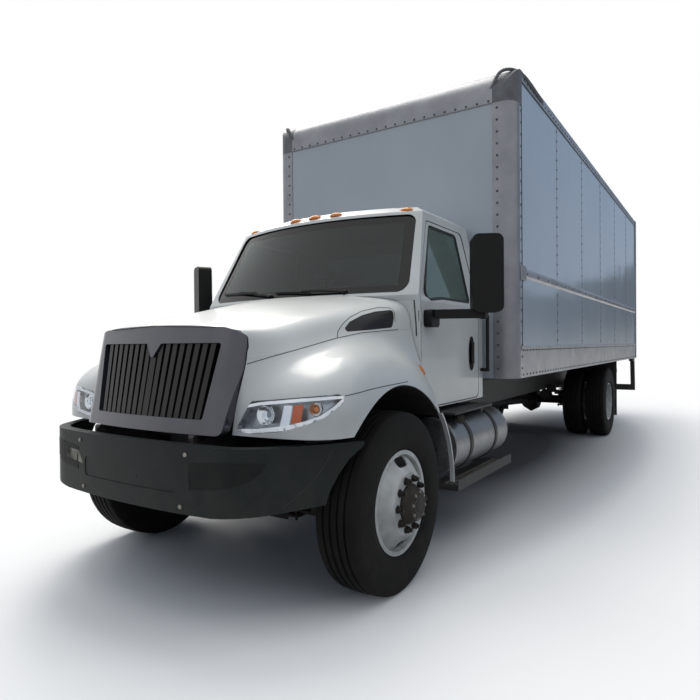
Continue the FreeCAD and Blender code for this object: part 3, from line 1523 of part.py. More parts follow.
def corner_post():
    """The left upright post: a thick rounded corner with a thin flange over each panel's edge."""
    side = post_side
    front = post_front
    centre_x = side - corner_post_radius
    centre_s = front + corner_post_radius
    inner = corner_post_radius - post_skin - wall_thickness
    flange = post_skin - seat_clearance
    half_root = math.sqrt(0.5)

    def place(x, station):
        return at(x, station, body_base_height)

    def arc(radius):
        middle = place(centre_x + radius * half_root, centre_s - radius * half_root)
        return [place(centre_x, centre_s - radius), middle, place(centre_x + radius, centre_s)]

    outer_arc = arc(corner_post_radius)
    inner_arc = arc(inner)
    lap_end = centre_s + corner_post_lap
    flange_x = side - corner_post_width
    edges = [Part.Arc(*outer_arc).toShape(), Part.Arc(*inner_arc).toShape()]
    side_chain = [outer_arc[2], place(side, lap_end), place(side - flange, lap_end),
                  place(side - flange, centre_s - seat_clearance), place(side - post_skin - wall_thickness,
                                                                         centre_s - seat_clearance),
                                                                         inner_arc[2]]
    front_chain = [inner_arc[0], place(centre_x + seat_clearance, centre_s - inner),
                   place(centre_x + seat_clearance, front + flange), place(flange_x, front + flange),
                   place(flange_x, front), outer_arc[0]]
    for chain in (side_chain, front_chain):
        for first, second in zip(chain, chain[1:]):
            edges.append(Part.LineSegment(first, second).toShape())
    face = Part.Face(Part.Wire(Part.__sortEdges__(edges)))
    return face.extrude(FreeCAD.Vector(0, 0, cap_low - seat_clearance - body_base_height))


def cap_form(inset, back, low):
    """The cap's form drawn in by the inset: rounded over in side view, and round its two corners in plan."""
    front = post_front + inset
    top = body_roof_height - inset
    side = post_side - inset
    bend = cap_radius - inset
    half_root = math.sqrt(0.5)
    start = at(-side, front, top - bend)
    middle = at(-side, front + bend * (1 - half_root), top - bend * (1 - half_root))
    end = at(-side, front + bend, top)
    chain = [end, at(-side, back, top), at(-side, back, low), at(-side, front, low), start]
    edges = [Part.Arc(start, middle, end).toShape()]
    for first, second in zip(chain, chain[1:]):
        edges.append(Part.LineSegment(first, second).toShape())
    form = Part.Face(Part.Wire(edges)).extrude(FreeCAD.Vector(2 * side, 0, 0))
    bend = corner_post_radius - inset
    plan = rounded_plan(front, side, back + overrun, bend, low - overrun)
    return form.common(plan)


def rounded_plan(front, side, back, bend, low):
    """An upright block whose two front corners are rounded."""
    half_root = math.sqrt(0.5)
    left = [at(side - bend, front, low), at(side - bend * (1 - half_root), front + bend * (1 - half_root),
                                            low),
            at(side, front + bend, low)]
    right = [FreeCAD.Vector(-point.x, point.y, point.z) for point in reversed(left)]
    edges = [Part.Arc(*left).toShape(), Part.Arc(*right).toShape()]
    chain = [left[2], at(side, back, low), at(-side, back, low), right[0]]
    for first, second in zip(chain, chain[1:]):
        edges.append(Part.LineSegment(first, second).toShape())
    edges.append(Part.LineSegment(right[2], left[0]).toShape())
    face = Part.Face(Part.Wire(Part.__sortEdges__(edges)))
    return face.extrude(FreeCAD.Vector(0, 0, body_roof_height + overrun - low))


def front_cap():
    """The rounded cap over the front wall as one shell, before it is parted into middle and corners."""
    form = cap_form(0, cap_back + overrun, cap_low)
    shell = form.cut(cap_form(post_skin + wall_thickness, cap_back + 2 * overrun, cap_low - overrun))
    return shell.common(block((-body_width, body_width), (post_front - overrun, cap_back),
                              (0, 2 * body_roof_height)))


def box_corner_trim():
    """The two upright corner posts and the middle of the rounded cap between the corner castings."""
    reach = post_side - casting_width - seat_clearance
    middle = block((-reach, reach), (post_front - overrun, cap_back + overrun),
                   (0, body_roof_height + overrun))
    return group(pair(corner_post()) + [front_cap().common(middle)])


def corner_castings():
    inner = post_side - casting_width
    end = block((inner, body_width), (post_front - overrun, cap_back + overrun),
                (0, body_roof_height + overrun))
    return group(pair(front_cap().common(end)))


def box_rear_frame():
    front = body_rear_station - rear_frame_depth
    outer = block((-body_half, body_half), (front, body_rear_station), (body_base_height, body_roof_height))
    inner_low = body_base_height + sill_height
    inner_high = body_roof_height - header_height
    half = body_half - rear_frame_width
    hole = block((-half, half), (front - overrun, body_rear_station + overrun), (inner_low, inner_high))
    return outer.cut(hole)


def roll_up_door():
    """The shut curtain of level panels, behind the rear frame's opening."""
    half = body_half - rear_frame_width - seat_clearance
    low = body_base_height + sill_height + seat_clearance
    high = body_roof_height - header_height - seat_clearance
    front = body_rear_station - roll_door_setback - roll_door_thickness
    rear = body_rear_station - roll_door_setback
    points = [(front, low), (front, high), (rear, high)]
    pitch = (high - low) / roll_door_panels
    for i in range(1, roll_door_panels):
        height = high - pitch * i
        points += [(rear, height + roll_door_groove), (rear - roll_door_groove, height),
                   (rear, height - roll_door_groove)]
    points.append((rear, low))
    return across(points, (-half, half))


def side_rub_rails():
    """Along each side: the bottom rail, two rub rails and the rail along the roof's edge."""
    front = post_front + corner_post_radius + corner_post_lap + seat_clearance
    back = body_rear_station - rear_frame_depth - seat_clearance
    face = side_panel_half + seat_clearance
    rails = [block((face, face + bottom_rail_stand), (front, back),
                   (body_base_height, body_base_height + bottom_rail_height)),
             block((face, post_side), (cap_back + seat_clearance, back),
                   (body_roof_height - top_rail_depth, body_roof_height))]
    for low, depth in ((lower_rail_height, lower_rail_depth), (mid_rail_height, mid_rail_depth)):
        outline = [(face, low), (body_half, low + depth / 4), (body_half, low + depth * 3 / 4),
                   (face, low + depth)]
        rails.append(along(outline, (front, back)))
    return group([solid for rail in rails for solid in pair(rail)])


# Lamps and handles
roof_lamp_places = (-735.0, -190.0, 0.0, 190.0, 735.0)
roof_lamp_half_width = 55.0
roof_lamp_depth = 60.0
roof_lamp_height = 26.0
tail_lamp_width = 90.0
tail_lamp_height = 160.0
tail_lamp_stand = 12.0
grab_radius = 14.0
grab_x = 1060.0
grab_station = 1675.0
grab_heights = (1215.0, 1650.0)


def marker_lamps():
    lamps = []
    for x in roof_lamp_places:
        share = (x / roof_edge_half) ** 2
        front = roof_edge_front_station - roof_edge_bow * (1 - share) + overrun / 2
        body = block((x - roof_lamp_half_width, x + roof_lamp_half_width), (front, front + roof_lamp_depth),
                     (roof_edge_height - overrun / 2, roof_crown_height + roof_lamp_height / 2))
        lamps.append(body.cut(cab_volume(-seat_clearance, cab_base_height)))
    return group(lamps)


def tail_lamps():
    height = body_base_height + sill_height / 2
    lamp = block((body_half - rear_frame_width, body_half - rear_frame_width + tail_lamp_width),
                 (body_rear_station + seat_clearance, body_rear_station + tail_lamp_stand),
                 (height, height + tail_lamp_height / 2))
    return group(pair(lamp))


def grab_handles():
    """A bar behind each door, standing off the cab's side."""
    low, high = grab_heights
    bar = rod(at(grab_x, grab_station, low - grab_radius), at(grab_x, grab_station, high + grab_radius),
              grab_radius)
    face = cab_half_width + seat_clearance
    feet = [rod(at(face, grab_station, z), at(grab_x, grab_station, z), grab_radius) for z in (low, high)]
    return group(pair(fused([bar] + feet)))


def make_chassis():
    export("frame_rails", frame_rails())
    export("front_bumper", front_bumper())
    export("bumper_brackets", bumper_brackets())
    export("front_axle", front_axle())
    export("leaf_springs", leaf_springs())
    export("rear_axle", rear_axle())
    export("powertrain", powertrain())
    export("fuel_tank", fuel_tank())
    export("tank_straps", tank_straps())
    export("battery_box", battery_box())
    export("exhaust", exhaust())
    export("cab_steps", cab_steps())
    export("splash_shields", group([solid for shield in splash_shields() for solid in pair(shield)]))
    export("mud_flaps", mud_flaps())
    export("rear_step", rear_step())


def make_steering():
    export("knuckle_left", knuckle())
    export("knuckle_right", mirrored(knuckle()))
    export("tie_rod", tie_rod())


def make_hood():
    hood, fender, lens = hood_panels()
    export("hood_panel", hood)
    export("fender_left", fender)
    export("fender_right", mirrored(fender))
    export("grille_surround", grille_surround())
    export("grille_bars", grille_bars())
    export("headlamps", group(pair(headlamp(lens))))
    export("intake_louvres", group(pair(intake_louvre())))
    export("wheel_liners", group(pair(wheel_liner())))
    export("hood_hinges", hood_hinges())


def make_cab():
    export("cab_shell", cab_shell())
    export("cab_glass", cab_glass())
    for side, name in zip(both_sides, ("left", "right")):
        export("door_" + name, on_side(door(), side))
        export("door_glass_" + name, on_side(door_glass(), side))
        export("mirror_" + name, on_side(mirror(), side))
    export("seats", group([seat(side * seat_centre) for side in both_sides]))
    export("seat_bases", group([seat_base(side * seat_centre) for side in both_sides]))
    export("dashboard", dashboard())
    export("marker_lamps", marker_lamps())
    export("grab_handles", grab_handles())


def make_body():
    export("box_floor", box_floor())
    export("box_side_left", box_side())
    export("box_side_right", mirrored(box_side()))
    export("box_front_wall", box_front_wall())
    export("box_roof", box_roof())
    export("box_corner_trim", box_corner_trim())
    export("box_corner_castings", corner_castings())
    export("box_rear_frame", box_rear_frame())
    export("roll_up_door", roll_up_door())
    export("side_rub_rails", side_rub_rails())
    export("tail_lamps", tail_lamps())


os.makedirs("parts", exist_ok=True)
make_wheels()
make_chassis()
make_steering()
make_hood()
make_cab()
make_body()
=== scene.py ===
# %% [markdown]
# # A box truck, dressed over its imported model
# The truck is a white medium-duty cab with a tilting hood, ahead of a tall riveted van body.
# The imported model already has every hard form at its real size. These cells give each form its
# finish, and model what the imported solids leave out: tread, nuts, rivets, seals, lamps and cushions.

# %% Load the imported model
import bpy
import math
from contextlib import contextmanager
from mathutils import Matrix, Vector
from mathutils.bvhtree import BVHTree


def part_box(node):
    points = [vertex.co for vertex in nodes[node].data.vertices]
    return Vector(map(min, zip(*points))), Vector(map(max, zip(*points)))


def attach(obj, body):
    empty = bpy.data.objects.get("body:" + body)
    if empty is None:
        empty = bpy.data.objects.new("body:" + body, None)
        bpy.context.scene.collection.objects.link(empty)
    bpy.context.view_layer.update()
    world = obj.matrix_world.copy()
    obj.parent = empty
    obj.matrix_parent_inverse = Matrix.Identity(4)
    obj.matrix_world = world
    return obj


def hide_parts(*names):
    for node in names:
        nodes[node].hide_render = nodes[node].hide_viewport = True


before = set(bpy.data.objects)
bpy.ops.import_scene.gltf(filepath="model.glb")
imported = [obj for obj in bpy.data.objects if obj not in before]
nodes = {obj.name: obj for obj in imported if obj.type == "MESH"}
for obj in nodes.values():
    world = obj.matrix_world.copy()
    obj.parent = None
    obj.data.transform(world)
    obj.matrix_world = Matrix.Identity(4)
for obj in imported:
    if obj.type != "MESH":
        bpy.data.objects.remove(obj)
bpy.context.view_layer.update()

# %% [markdown]
# ## The camera
# The photograph was taken by a standing person near the left front corner, with a wide lens.
# Its place comes from straight edges of the body, the wheels' rims and the mirrors. Stations are
# counted back from the front axle, as a truck maker does, so one function turns them into places.

# %% Camera
AXLE_Y = -4.3
PHOTO_SIDE = 700


def place(x, station, z):
    return Vector((x, AXLE_Y + station, z))


def add_camera():
    yaw, pitch, roll = 0.580, -0.009, -0.008
    forward = Vector((-math.sin(yaw) * math.cos(pitch), math.cos(yaw) * math.cos(pitch),
                      math.sin(pitch)))
    right = Vector((math.cos(yaw), math.sin(yaw), 0))
    up = right.cross(forward)
    turned_right = right * math.cos(roll) + up * math.sin(roll)
    turned_up = up * math.cos(roll) - right * math.sin(roll)
    data = bpy.data.cameras.new("photo_camera")
    data.lens = 29.48
    data.sensor_width = 36.0
    data.clip_end = 500.0
    camera = bpy.data.objects.new("photo_camera", data)
    turn = Matrix((turned_right, turned_up, -forward)).transposed().to_4x4()
    camera.matrix_world = Matrix.Translation(place(2.705, -2.91, 1.43)) @ turn
    bpy.context.scene.collection.objects.link(camera)
    bpy.context.scene.camera = camera
    return camera


camera = add_camera()
print("camera lens:", camera.data.lens)

# %% [markdown]
# ## Colours and shader nodes
# Colours are written as the hex values that a picture editor shows, and turned to linear light.
# Every material is then built with two small functions. One sets a node's inputs, each to a value or
# with a link from another node. The other adds a node, with its settings and its inputs.

# %% Colour and node helpers


def linear(hex_code):
    """The linear RGBA of an sRGB hex value."""
    channels = [int(hex_code[i:i + 2], 16) / 255 for i in (0, 2, 4)]
    light = [c / 12.92 if c <= 0.04045 else ((c + 0.055) / 1.055) ** 2.4 for c in channels]
    return (*light, 1.0)


def set_inputs(node, inputs):
    """Set a node's inputs. Each is a value, or another node or its output to link."""
    for key, value in inputs.items():
        if isinstance(value, bpy.types.Node):
            value = value.outputs[0]
        if isinstance(value, bpy.types.NodeSocket):
            node.id_data.links.new(value, node.inputs[key])
        else:
            node.inputs[key].default_value = value


def add(tree, kind, inputs=None, **settings):
    """Add one shader node with its settings and inputs."""
    node = tree.nodes.new("ShaderNode" + kind)
    for key, value in settings.items():
        setattr(node, key, value)
    set_inputs(node, inputs or {})
    return node


def ramp(tree, source, stops):
    """Turn a factor into a colour through hex stops."""
    node = add(tree, "ValToRGB", {"Fac": source})
    elements = node.color_ramp.elements
    while len(elements) < len(stops):
        elements.new(0.5)
    for element, (position, hex_code) in zip(elements, stops):
        element.position = position
        element.color = linear(hex_code)
    return node.outputs["Color"]


def blend_colours(tree, share, first, second):
    """Mix two colours, each a hex value or another node's output."""
    node = add(tree, "Mix", {0: share}, data_type="RGBA")
    for name, value in (("A", first), ("B", second)):
        index = next(i for i, s in enumerate(node.inputs) if s.name == name and s.type == "RGBA")
        set_inputs(node, {index: linear(value) if isinstance(value, str) else value})
    return next(s for s in node.outputs if s.type == "RGBA")


def insides(material):
    """A material's node tree, its shader and its Object coordinates."""
    tree = material.node_tree
    shader = next(node for node in tree.nodes if node.type == "BSDF_PRINCIPLED")
    where = next(node for node in tree.nodes if node.type == "TEX_COORD").outputs["Object"]
    return tree, shader, where


def blank(name):
    """A fresh material with its shader, ready for colours and patterns."""
    material = bpy.data.materials.new(name)
    material.use_nodes = True
    add(material.node_tree, "TexCoord")
    return (material, *insides(material))


# %% [markdown]
# ## The studio
# The picture stands on plain white. A wide pale floor takes the soft shadow, and a painted shadow
# darkens its seen colour under the truck; it fades to plain white some metres out. The sky is a soft
# dome, and three large lamps shape the cab. Dark cards stand behind the camera's side, as a photographer
# places them, so that glass and chrome have something darker than white to mirror.

# %% Floor, sky, lamps and cards


def seen_plainly(tree):
    """1 where the camera, a mirror or a pane looks straight at it, and 0 where it only gives light."""
    ray = add(tree, "LightPath").outputs
    direct = add(tree, "Math", {0: ray["Is Camera Ray"], 1: ray["Is Glossy Ray"]}, operation="MAXIMUM")
    return add(tree, "Math", {0: direct, 1: ray["Is Transmission Ray"]}, operation="MAXIMUM")


def floor_finish():
    """Distance is counted on an oval like the truck's plan: 1 is 2.4 m to the side and 6.9 m ahead."""
    material, tree, shader, where = blank("studio_floor")
    oval = add(tree, "VectorMath", {0: where, 1: (0.42, 0.145, 1.0)}, operation="MULTIPLY")
    distance = add(tree, "VectorMath", {0: oval}, operation="LENGTH").outputs["Value"]
    fade = add(tree, "MapRange", {"Value": distance, "From Min": 0.75, "From Max": 1.5})
    # Painted shadow: on this oval the floor's seen colour turns dark grey under the truck.
    painted_shadow = add(tree, "MapRange", {"Value": distance, "From Min": 0.3, "From Max": 0.85})
    seen = blend_colours(tree, painted_shadow, "5A5B5E", "F6F6F6")
    set_inputs(shader, {"Roughness": 0.9, "Specular IOR Level": 0.1,
                        "Base Color": blend_colours(tree, seen_plainly(tree), "8E8E8E", seen)})
    white = add(tree, "Emission", {"Color": (1, 1, 1, 1), "Strength": 1.0})
    share = add(tree, "Math", {0: fade, 1: seen_plainly(tree)}, operation="MULTIPLY")
    mixed = add(tree, "MixShader", {0: share, 1: shader, 2: white})
    set_inputs(tree.nodes["Material Output"], {"Surface": mixed})
    return material


def studio_sky():
    world = bpy.data.worlds.new("studio_sky")
    bpy.context.scene.world = world
    world.use_nodes = True
    tree = world.node_tree
    direction = add(tree, "TexCoord").outputs["Generated"]
    height = add(tree, "SeparateXYZ", {0: direction}).outputs["Z"]
    lift = add(tree, "MapRange", {"Value": height, "From Min": -0.15, "From Max": 0.9})
    dome = ramp(tree, lift, [(0.0, "26292C"), (0.14, "3C434C"), (0.42, "8494A8"), (0.75, "D4DDE8"),
                             (1.0, "F4F6F8")])
    background = next(node for node in tree.nodes if node.type == "BACKGROUND")
    set_inputs(background, {"Color": blend_colours(tree, seen_plainly(tree), dome, "FFFFFF"),
                            "Strength": 1.0})


def add_lamp(name, where, aim, size, power, colour=(1, 1, 1)):
    data = bpy.data.lights.new(name, "AREA")
    data.shape = "RECTANGLE"
    data.size, data.size_y = size
    data.energy = power
    data.color = colour
    lamp = bpy.data.objects.new(name, data)
    lamp.location = where
    lamp.rotation_euler = (Vector(aim) - Vector(where)).to_track_quat("-Z", "Y").to_euler()
    bpy.context.scene.collection.objects.link(lamp)


def far_country():
    """What the van's long side mirrors at a low angle: a band of wooded hills under a plain sky."""
    material, tree, _, where = blank("far_country")
    height = add(tree, "SeparateXYZ", {0: where}).outputs["Z"]
    hills = add(tree, "TexNoise", {"Vector": where, "Scale": 0.11, "Detail": 5.0}).outputs["Fac"]
    crest = add(tree, "MapRange", {"Value": hills, "From Min": 0.3, "From Max": 0.7, "To Min": 3.6,
                                   "To Max": 9.5})
    above = add(tree, "Math", {0: height, 1: crest}, operation="SUBTRACT")
    edge = add(tree, "MapRange", {"Value": above, "From Min": -0.4, "From Max": 0.4})
    tone = ramp(tree, add(tree, "MapRange", {"Value": height, "From Max": 45.0}),
                [(0.0, "A9B6C6"), (0.35, "8FA2BA"), (1.0, "7F95B2")])
    ground = ramp(tree, add(tree, "MapRange", {"Value": height, "From Max": 4.0}),
                  [(0.0, "9A9D9E"), (0.4, "85898B"), (0.75, "5F6568"), (1.0, "4E555A")])
    glow = add(tree, "Emission", {"Color": blend_colours(tree, edge, ground, tone), "Strength": 1.0})
    set_inputs(tree.nodes["Material Output"], {"Surface": glow})
    return material


def dark_card():
    material, _, shader, _ = blank("dark_card")
    set_inputs(shader, {"Base Color": linear("3A3F42"), "Roughness": 1.0})
    return material


def add_card(name, where, turn, size, finish):
    """A sheet for glass and chrome to mirror, unseen by the camera and without a shadow."""
    bpy.ops.mesh.primitive_plane_add(size=1, location=where, rotation=turn)
    card = bpy.context.object
    card.name = name
    card.scale = (*size, 1)
    bpy.ops.object.transform_apply()
    card.data.materials.append(finish)
    for ray in ("camera", "shadow", "diffuse", "transmission"):
        setattr(card, "visible_" + ray, False)


UPRIGHT = math.pi / 2
bpy.ops.mesh.primitive_plane_add(size=400, location=(0, 0, 0))
floor = bpy.context.object
floor.name = "studio_floor"
floor.data.materials.append(floor_finish())
studio_sky()
add_lamp("front_softbox", (-3.0, -15.0, 7.5), (0, -4.0, 1.4), (7, 5), 20)
add_lamp("side_softbox", (13.0, -5.0, 8.0), (0, 0, 1.6), (14, 5), 14)
add_lamp("top_softbox", (-5.5, 1.5, 11.5), (-0.5, -1.5, 0), (6, 13), 1350, colour=(1.0, 0.965, 0.89))
card_grey = dark_card()
add_card("side_card", (16.0, 0.0, 1.5), (0, UPRIGHT, 0), (3.0, 40.0), card_grey)
add_card("front_card", (0.0, -17.0, 1.2), (UPRIGHT, 0, 0), (30.0, 2.4), card_grey)
add_card("far_card", (35.0, 45.0, 25.0), (UPRIGHT, 0, 0), (90.0, 50.0), far_country())
bpy.context.scene.view_settings.view_transform = "Standard"
print("studio ready")

# %% [markdown]
# ## Finishes
# A truck that works outdoors is never one flat colour. Its enamel keeps a thin film of road dust,
# thicker near the ground, so one helper gives any finish that film: a factor that grows downwards
# and is broken up by noise. Its scale is in metres, because the materials read Object coordinates.

# %% Dust, noise and bump helpers


def noise(tree, where, per_metre, detail=4.0, stretch=(1, 1, 1)):
    scaled = add(tree, "Mapping", {"Vector": where, "Scale": stretch})
    return add(tree, "TexNoise", {"Vector": scaled, "Scale": per_metre, "Detail": detail}).outputs["Fac"]


def dust_share(tree, where, top, most):
    """0 above the given height in metres, and more towards the ground, in patches a hand wide."""
    height = add(tree, "SeparateXYZ", {0: where}).outputs["Z"]
    low = add(tree, "MapRange", {"Value": height, "From Min": top, "From Max": 0.2, "To Max": most})
    patches = add(tree, "MapRange", {"Value": noise(tree, where, 9.0), "From Min": 0.3,
                                     "From Max": 0.75})
    return add(tree, "Math", {0: low, 1: patches}, operation="MULTIPLY")


def set_bump(tree, shader, height, strength, distance):
    bump = add(tree, "Bump", {"Height": height, "Strength": strength, "Distance": distance})
    set_inputs(shader, {"Normal": bump})


def dusty(name, colour, shade, roughness, metallic=0.0, dust="8E8576", top=1.4, most=0.6, grain=240.0,
          detail=4.0, bump=0.05, depth=0.002, coat=0.0, spread=3.0, gloss=0.5):
    """A finish whose colour drifts a little over the surface, under a film of road dust."""
    material, tree, shader, where = blank(name)
    drift = ramp(tree, noise(tree, where, spread), [(0.3, shade), (0.7, colour)])
    film = dust_share(tree, where, top, most)
    rough = add(tree, "MapRange", {"Value": film, "To Min": roughness, "To Max": 0.85})
    set_inputs(shader, {"Base Color": blend_colours(tree, film, drift, dust), "Roughness": rough,
                        "Metallic": metallic, "Coat Weight": coat, "Coat Roughness": 0.05,
                        "Specular IOR Level": gloss})
    set_bump(tree, shader, noise(tree, where, grain, detail), bump, depth)
    return material


# %% [markdown]
# The painted pieces come first. Baked enamel on the cab is a neutral white under a thin clear gloss.
# The van's sheets are pre-painted aluminium, white in reality. Their colour here is a blue-grey that
# holds painted shade and a painted reflection of the sky, and the front wall's sheet is a darker copy:
# painted shade. The sheets are thin enough to ripple, which shows as wavering reflections, so their bump
# is slow: about one ripple in 0.7 m.

# %% Painted and sheet finishes


def facing_in(tree, where, centre):
    """1 on a wall that faces a room's middle, and 0 on one that faces away from it."""
    from_middle = add(tree, "VectorMath", {0: where, 1: centre}, operation="SUBTRACT")
    world_normal = add(tree, "NewGeometry").outputs["True Normal"]
    normal = add(tree, "VectorTransform", {0: world_normal}, vector_type="NORMAL",
                 convert_from="WORLD", convert_to="OBJECT")
    outward = add(tree, "VectorMath", {0: normal, 1: from_middle}, operation="DOT_PRODUCT")
    return add(tree, "Math", {0: outward.outputs["Value"], 1: 0.0}, operation="LESS_THAN")


def lined(material, centre, lining):
    """The same paint outside, and a dark lining on the walls that face the room's middle."""
    tree, shader, where = insides(material)
    paint = shader.inputs["Base Color"].links[0].from_socket
    inside = facing_in(tree, where, centre)
    set_inputs(shader, {"Base Color": blend_colours(tree, inside, paint, lining)})
    return material


def enamel(name):
    return dusty(name, "D6D8D6", "CDCFCC", 0.34, coat=0.25, top=1.15, most=0.45, grain=700, bump=0.01)


hood_enamel = enamel("cab_enamel")
cab_enamel = lined(enamel("cab_enamel_lined"), (0, AXLE_Y + 1.15, 1.7), "1E2022")
wheel_enamel = dusty("wheel_enamel", "DADBD9", "BFC0BC", 0.42, top=1.2, most=0.5, dust="6F675C",
                     grain=300, spread=14)
chassis_black = dusty("chassis_black_paint", "1D1D1D", "101010", 0.5, top=1.2, most=0.5, dust="4B463F",
                      bump=0.2)
step_grey = dusty("step_grey_paint", "2E2F2F", "202121", 0.55, top=0.9, most=0.5, dust="5A554C",
                  bump=0.2)


def body_sheet(name, colour, shade, roughness):
    return dusty(name, colour, shade, roughness, top=1.7, most=0.3, coat=0.35, spread=0.8, grain=1.4,
                 detail=1.0, bump=0.6, depth=0.02)


# Painted shade and a painted sky reflection in the side sheets' blue-grey; the front sheet is a darker
# copy, painted shade.
sheet_painted_sky_and_shade = body_sheet("painted_aluminium_sheet", "C8D2DE", "BEC9D6", 0.12)
front_painted_shade = body_sheet("front_sheet_painted_shade", "B4BCC4", "A9B1B9", 0.35)
lap_enamel = body_sheet("lap_enamel", "AEB6C0", "A2AAB4", 0.2)
mill_aluminium = dusty("weathered_aluminium", "93959A", "7E8086", 0.45, metallic=0.5, top=1.6, most=0.4,
                       grain=180, bump=0.12, spread=5)
rail_aluminium = dusty("extruded_aluminium", "AFB0B3", "94959A", 0.36, metallic=0.5, top=1.6, most=0.5,
                       grain=180, bump=0.1, spread=5)
casting_grey = dusty("sand_cast_aluminium", "6E7075", "55575C", 0.6, metallic=0.3, grain=320, bump=0.35,
                     spread=9)
door_white = body_sheet("roll_door_enamel", "D5D8DA", "C8CBCD", 0.3)

# %% [markdown]
# Bare and cast metals follow. Polished tank aluminium is spun, so fine rings run round its axis:
# the noise is stretched along the tank. Cast iron is dark, rough and evenly dusty.

# %% Metals
axle_iron = dusty("cast_iron", "2B2A29", "1B1A19", 0.7, metallic=0.4, dust="4A443C", most=0.7, grain=350,
                  bump=0.4)
engine_iron = dusty("engine_cast_iron", "34363A", "222427", 0.6, metallic=0.4, dust="4A443C", bump=0.3)
exhaust_steel = dusty("aluminised_steel", "77736D", "5A5650", 0.45, metallic=0.9, dust="5A5046",
                      bump=0.1)


def spun_aluminium():
    material, tree, shader, where = blank("spun_aluminium")
    rings = noise(tree, where, 40.0, stretch=(1, 14, 1))
    smears = add(tree, "MapRange", {"Value": noise(tree, where, 6.0), "From Min": 0.35,
                                    "From Max": 0.7, "To Min": 0.4, "To Max": 0.52})
    set_inputs(shader, {"Base Color": ramp(tree, rings, [(0.3, "7E8082"), (0.7, "9A9B9C")]),
                        "Metallic": 1.0, "Roughness": smears})
    set_bump(tree, shader, rings, 0.06, 0.001)
    return material


def chrome(name):
    material, tree, shader, where = blank(name)
    smears = add(tree, "MapRange", {"Value": noise(tree, where, 30.0), "To Min": 0.05, "To Max": 0.2})
    set_inputs(shader, {"Base Color": linear("D8D8D8"), "Metallic": 1.0, "Roughness": smears})
    return material


# The rivets are a dark grey, darker than the sheets they hold.
rivet_metal = dusty("dark_grey_rivet", "54565A", "3A3B3E", 0.6, metallic=0.3, top=1.7, most=0.5, spread=12)
sealant = dusty("grey_sealant", "5C5D5E", "3F4041", 0.7, most=0.5, grain=150, bump=0.3, spread=18)
tank_metal = spun_aluminium()
chrome_plate = chrome("chrome_plate")
zinc_steel = dusty("zinc_plated_steel", "8D8B86", "6F6C66", 0.4, metallic=0.9, bump=0.1, spread=20)
dark_nut = dusty("dark_nut_steel", "2E2C2B", "211F1E", 0.5, metallic=0.7, dust="4A443C", spread=30)

# %% [markdown]
# Plastics and rubber are next. The bumper is moulded polypropylene with a fine leather grain, about
# 1 mm across, and it has faded to a greenish grey. The grille's frame is painted a dark metallic
# grey that leans to purple, and its bars are glossier black.

# %% Plastics and rubber
bumper_plastic = dusty("grained_polypropylene", "1E2526", "181D1E", 0.5, dust="6A6558", top=1.05,
                       most=0.35, grain=500, bump=0.25, spread=6, gloss=0.2)
# A darker copy of the bumper's plastic: painted shade for a shallow recess in its face.
bumper_painted_shade = dusty("polypropylene_painted_shade", "0E1112", "0B0D0E", 0.6, dust="5E594E", top=1.05, most=0.3,
                    grain=500, bump=0.25, spread=6, gloss=0.2)
scuffed_plastic = dusty("scuffed_polypropylene", "B9B4A8", "8F8A7E", 0.7, most=0.3, grain=200, bump=0.4,
                        spread=40)
trim_plastic = dusty("black_moulded_plastic", "0B0C0E", "08090A", 0.45, most=0.3, grain=600, bump=0.15,
                     gloss=0.2)
surround_grey = dusty("metallic_grey_paint", "4C4C56", "41414B", 0.28, metallic=0.35, coat=0.6, top=1.1,
                      most=0.3, grain=900, bump=0.02)
grille_black = dusty("gloss_black_plastic", "1A1A1D", "121214", 0.3, coat=0.2, top=1.3, most=0.35,
                     gloss=0.2)
liner_plastic = dusty("black_liner_plastic", "151515", "0D0D0D", 0.75, dust="3A352E", most=0.6, bump=0.2,
                      gloss=0.2)
tyre_rubber = dusty("tyre_rubber", "0A0A0A", "070708", 0.8, dust="3A3630", top=1.3, most=0.4, grain=420,
                    bump=0.15, gloss=0.2)
flap_rubber = dusty("flap_rubber", "161616", "0E0E0E", 0.7, most=0.5)
seal_rubber = dusty("seal_rubber", "131313", "0B0B0B", 0.5, most=0.2)


def woven_fabric():
    """Seat cloth: a plain weave whose threads are drawn 2 mm apart, as coarse as shows here."""
    material, tree, shader, where = blank("woven_seat_cloth")
    threads = add(tree, "TexWave", {"Vector": where, "Scale": 160.0, "Distortion": 1.5, "Detail": 1.0},
                  bands_direction="DIAGONAL").outputs["Fac"]
    set_inputs(shader, {"Base Color": ramp(tree, threads, [(0.2, "26272A"), (0.8, "3C3E42")]),
                        "Roughness": 0.9, "Sheen Weight": 0.3})
    set_bump(tree, shader, threads, 0.4, 0.002)
    return material


seat_cloth = woven_fabric()
dash_plastic = dusty("soft_dash_plastic", "3A3B3D", "303133", 0.65, most=0.0, grain=500, bump=0.3)


def planks():
    """The van's floor: hardwood boards 150 mm wide, with a dark joint between them."""
    material, tree, shader, where = blank("hardwood_floor")
    across = add(tree, "SeparateXYZ", {0: where}).outputs["X"]
    along = add(tree, "Math", {0: across, 1: 0.15}, operation="MODULO")
    joint = add(tree, "Math", {0: along, 1: 0.003}, operation="LESS_THAN")
    grain = ramp(tree, noise(tree, where, 14.0, stretch=(6, 0.4, 6)), [(0.3, "6E4F33"), (0.7, "8F6B47")])
    boards = blend_colours(tree, joint, grain, "2A1E14")
    normal = add(tree, "NewGeometry").outputs["True Normal"]
    height = add(tree, "SeparateXYZ", {0: normal}).outputs["Z"]
    below = add(tree, "Math", {0: height, 1: 0.5}, operation="LESS_THAN")
    set_inputs(shader, {"Base Color": blend_colours(tree, below, boards, "191817"), "Roughness": 0.6})
    set_bump(tree, shader, joint, 0.4, 0.002)
    return material


floor_wood = planks()

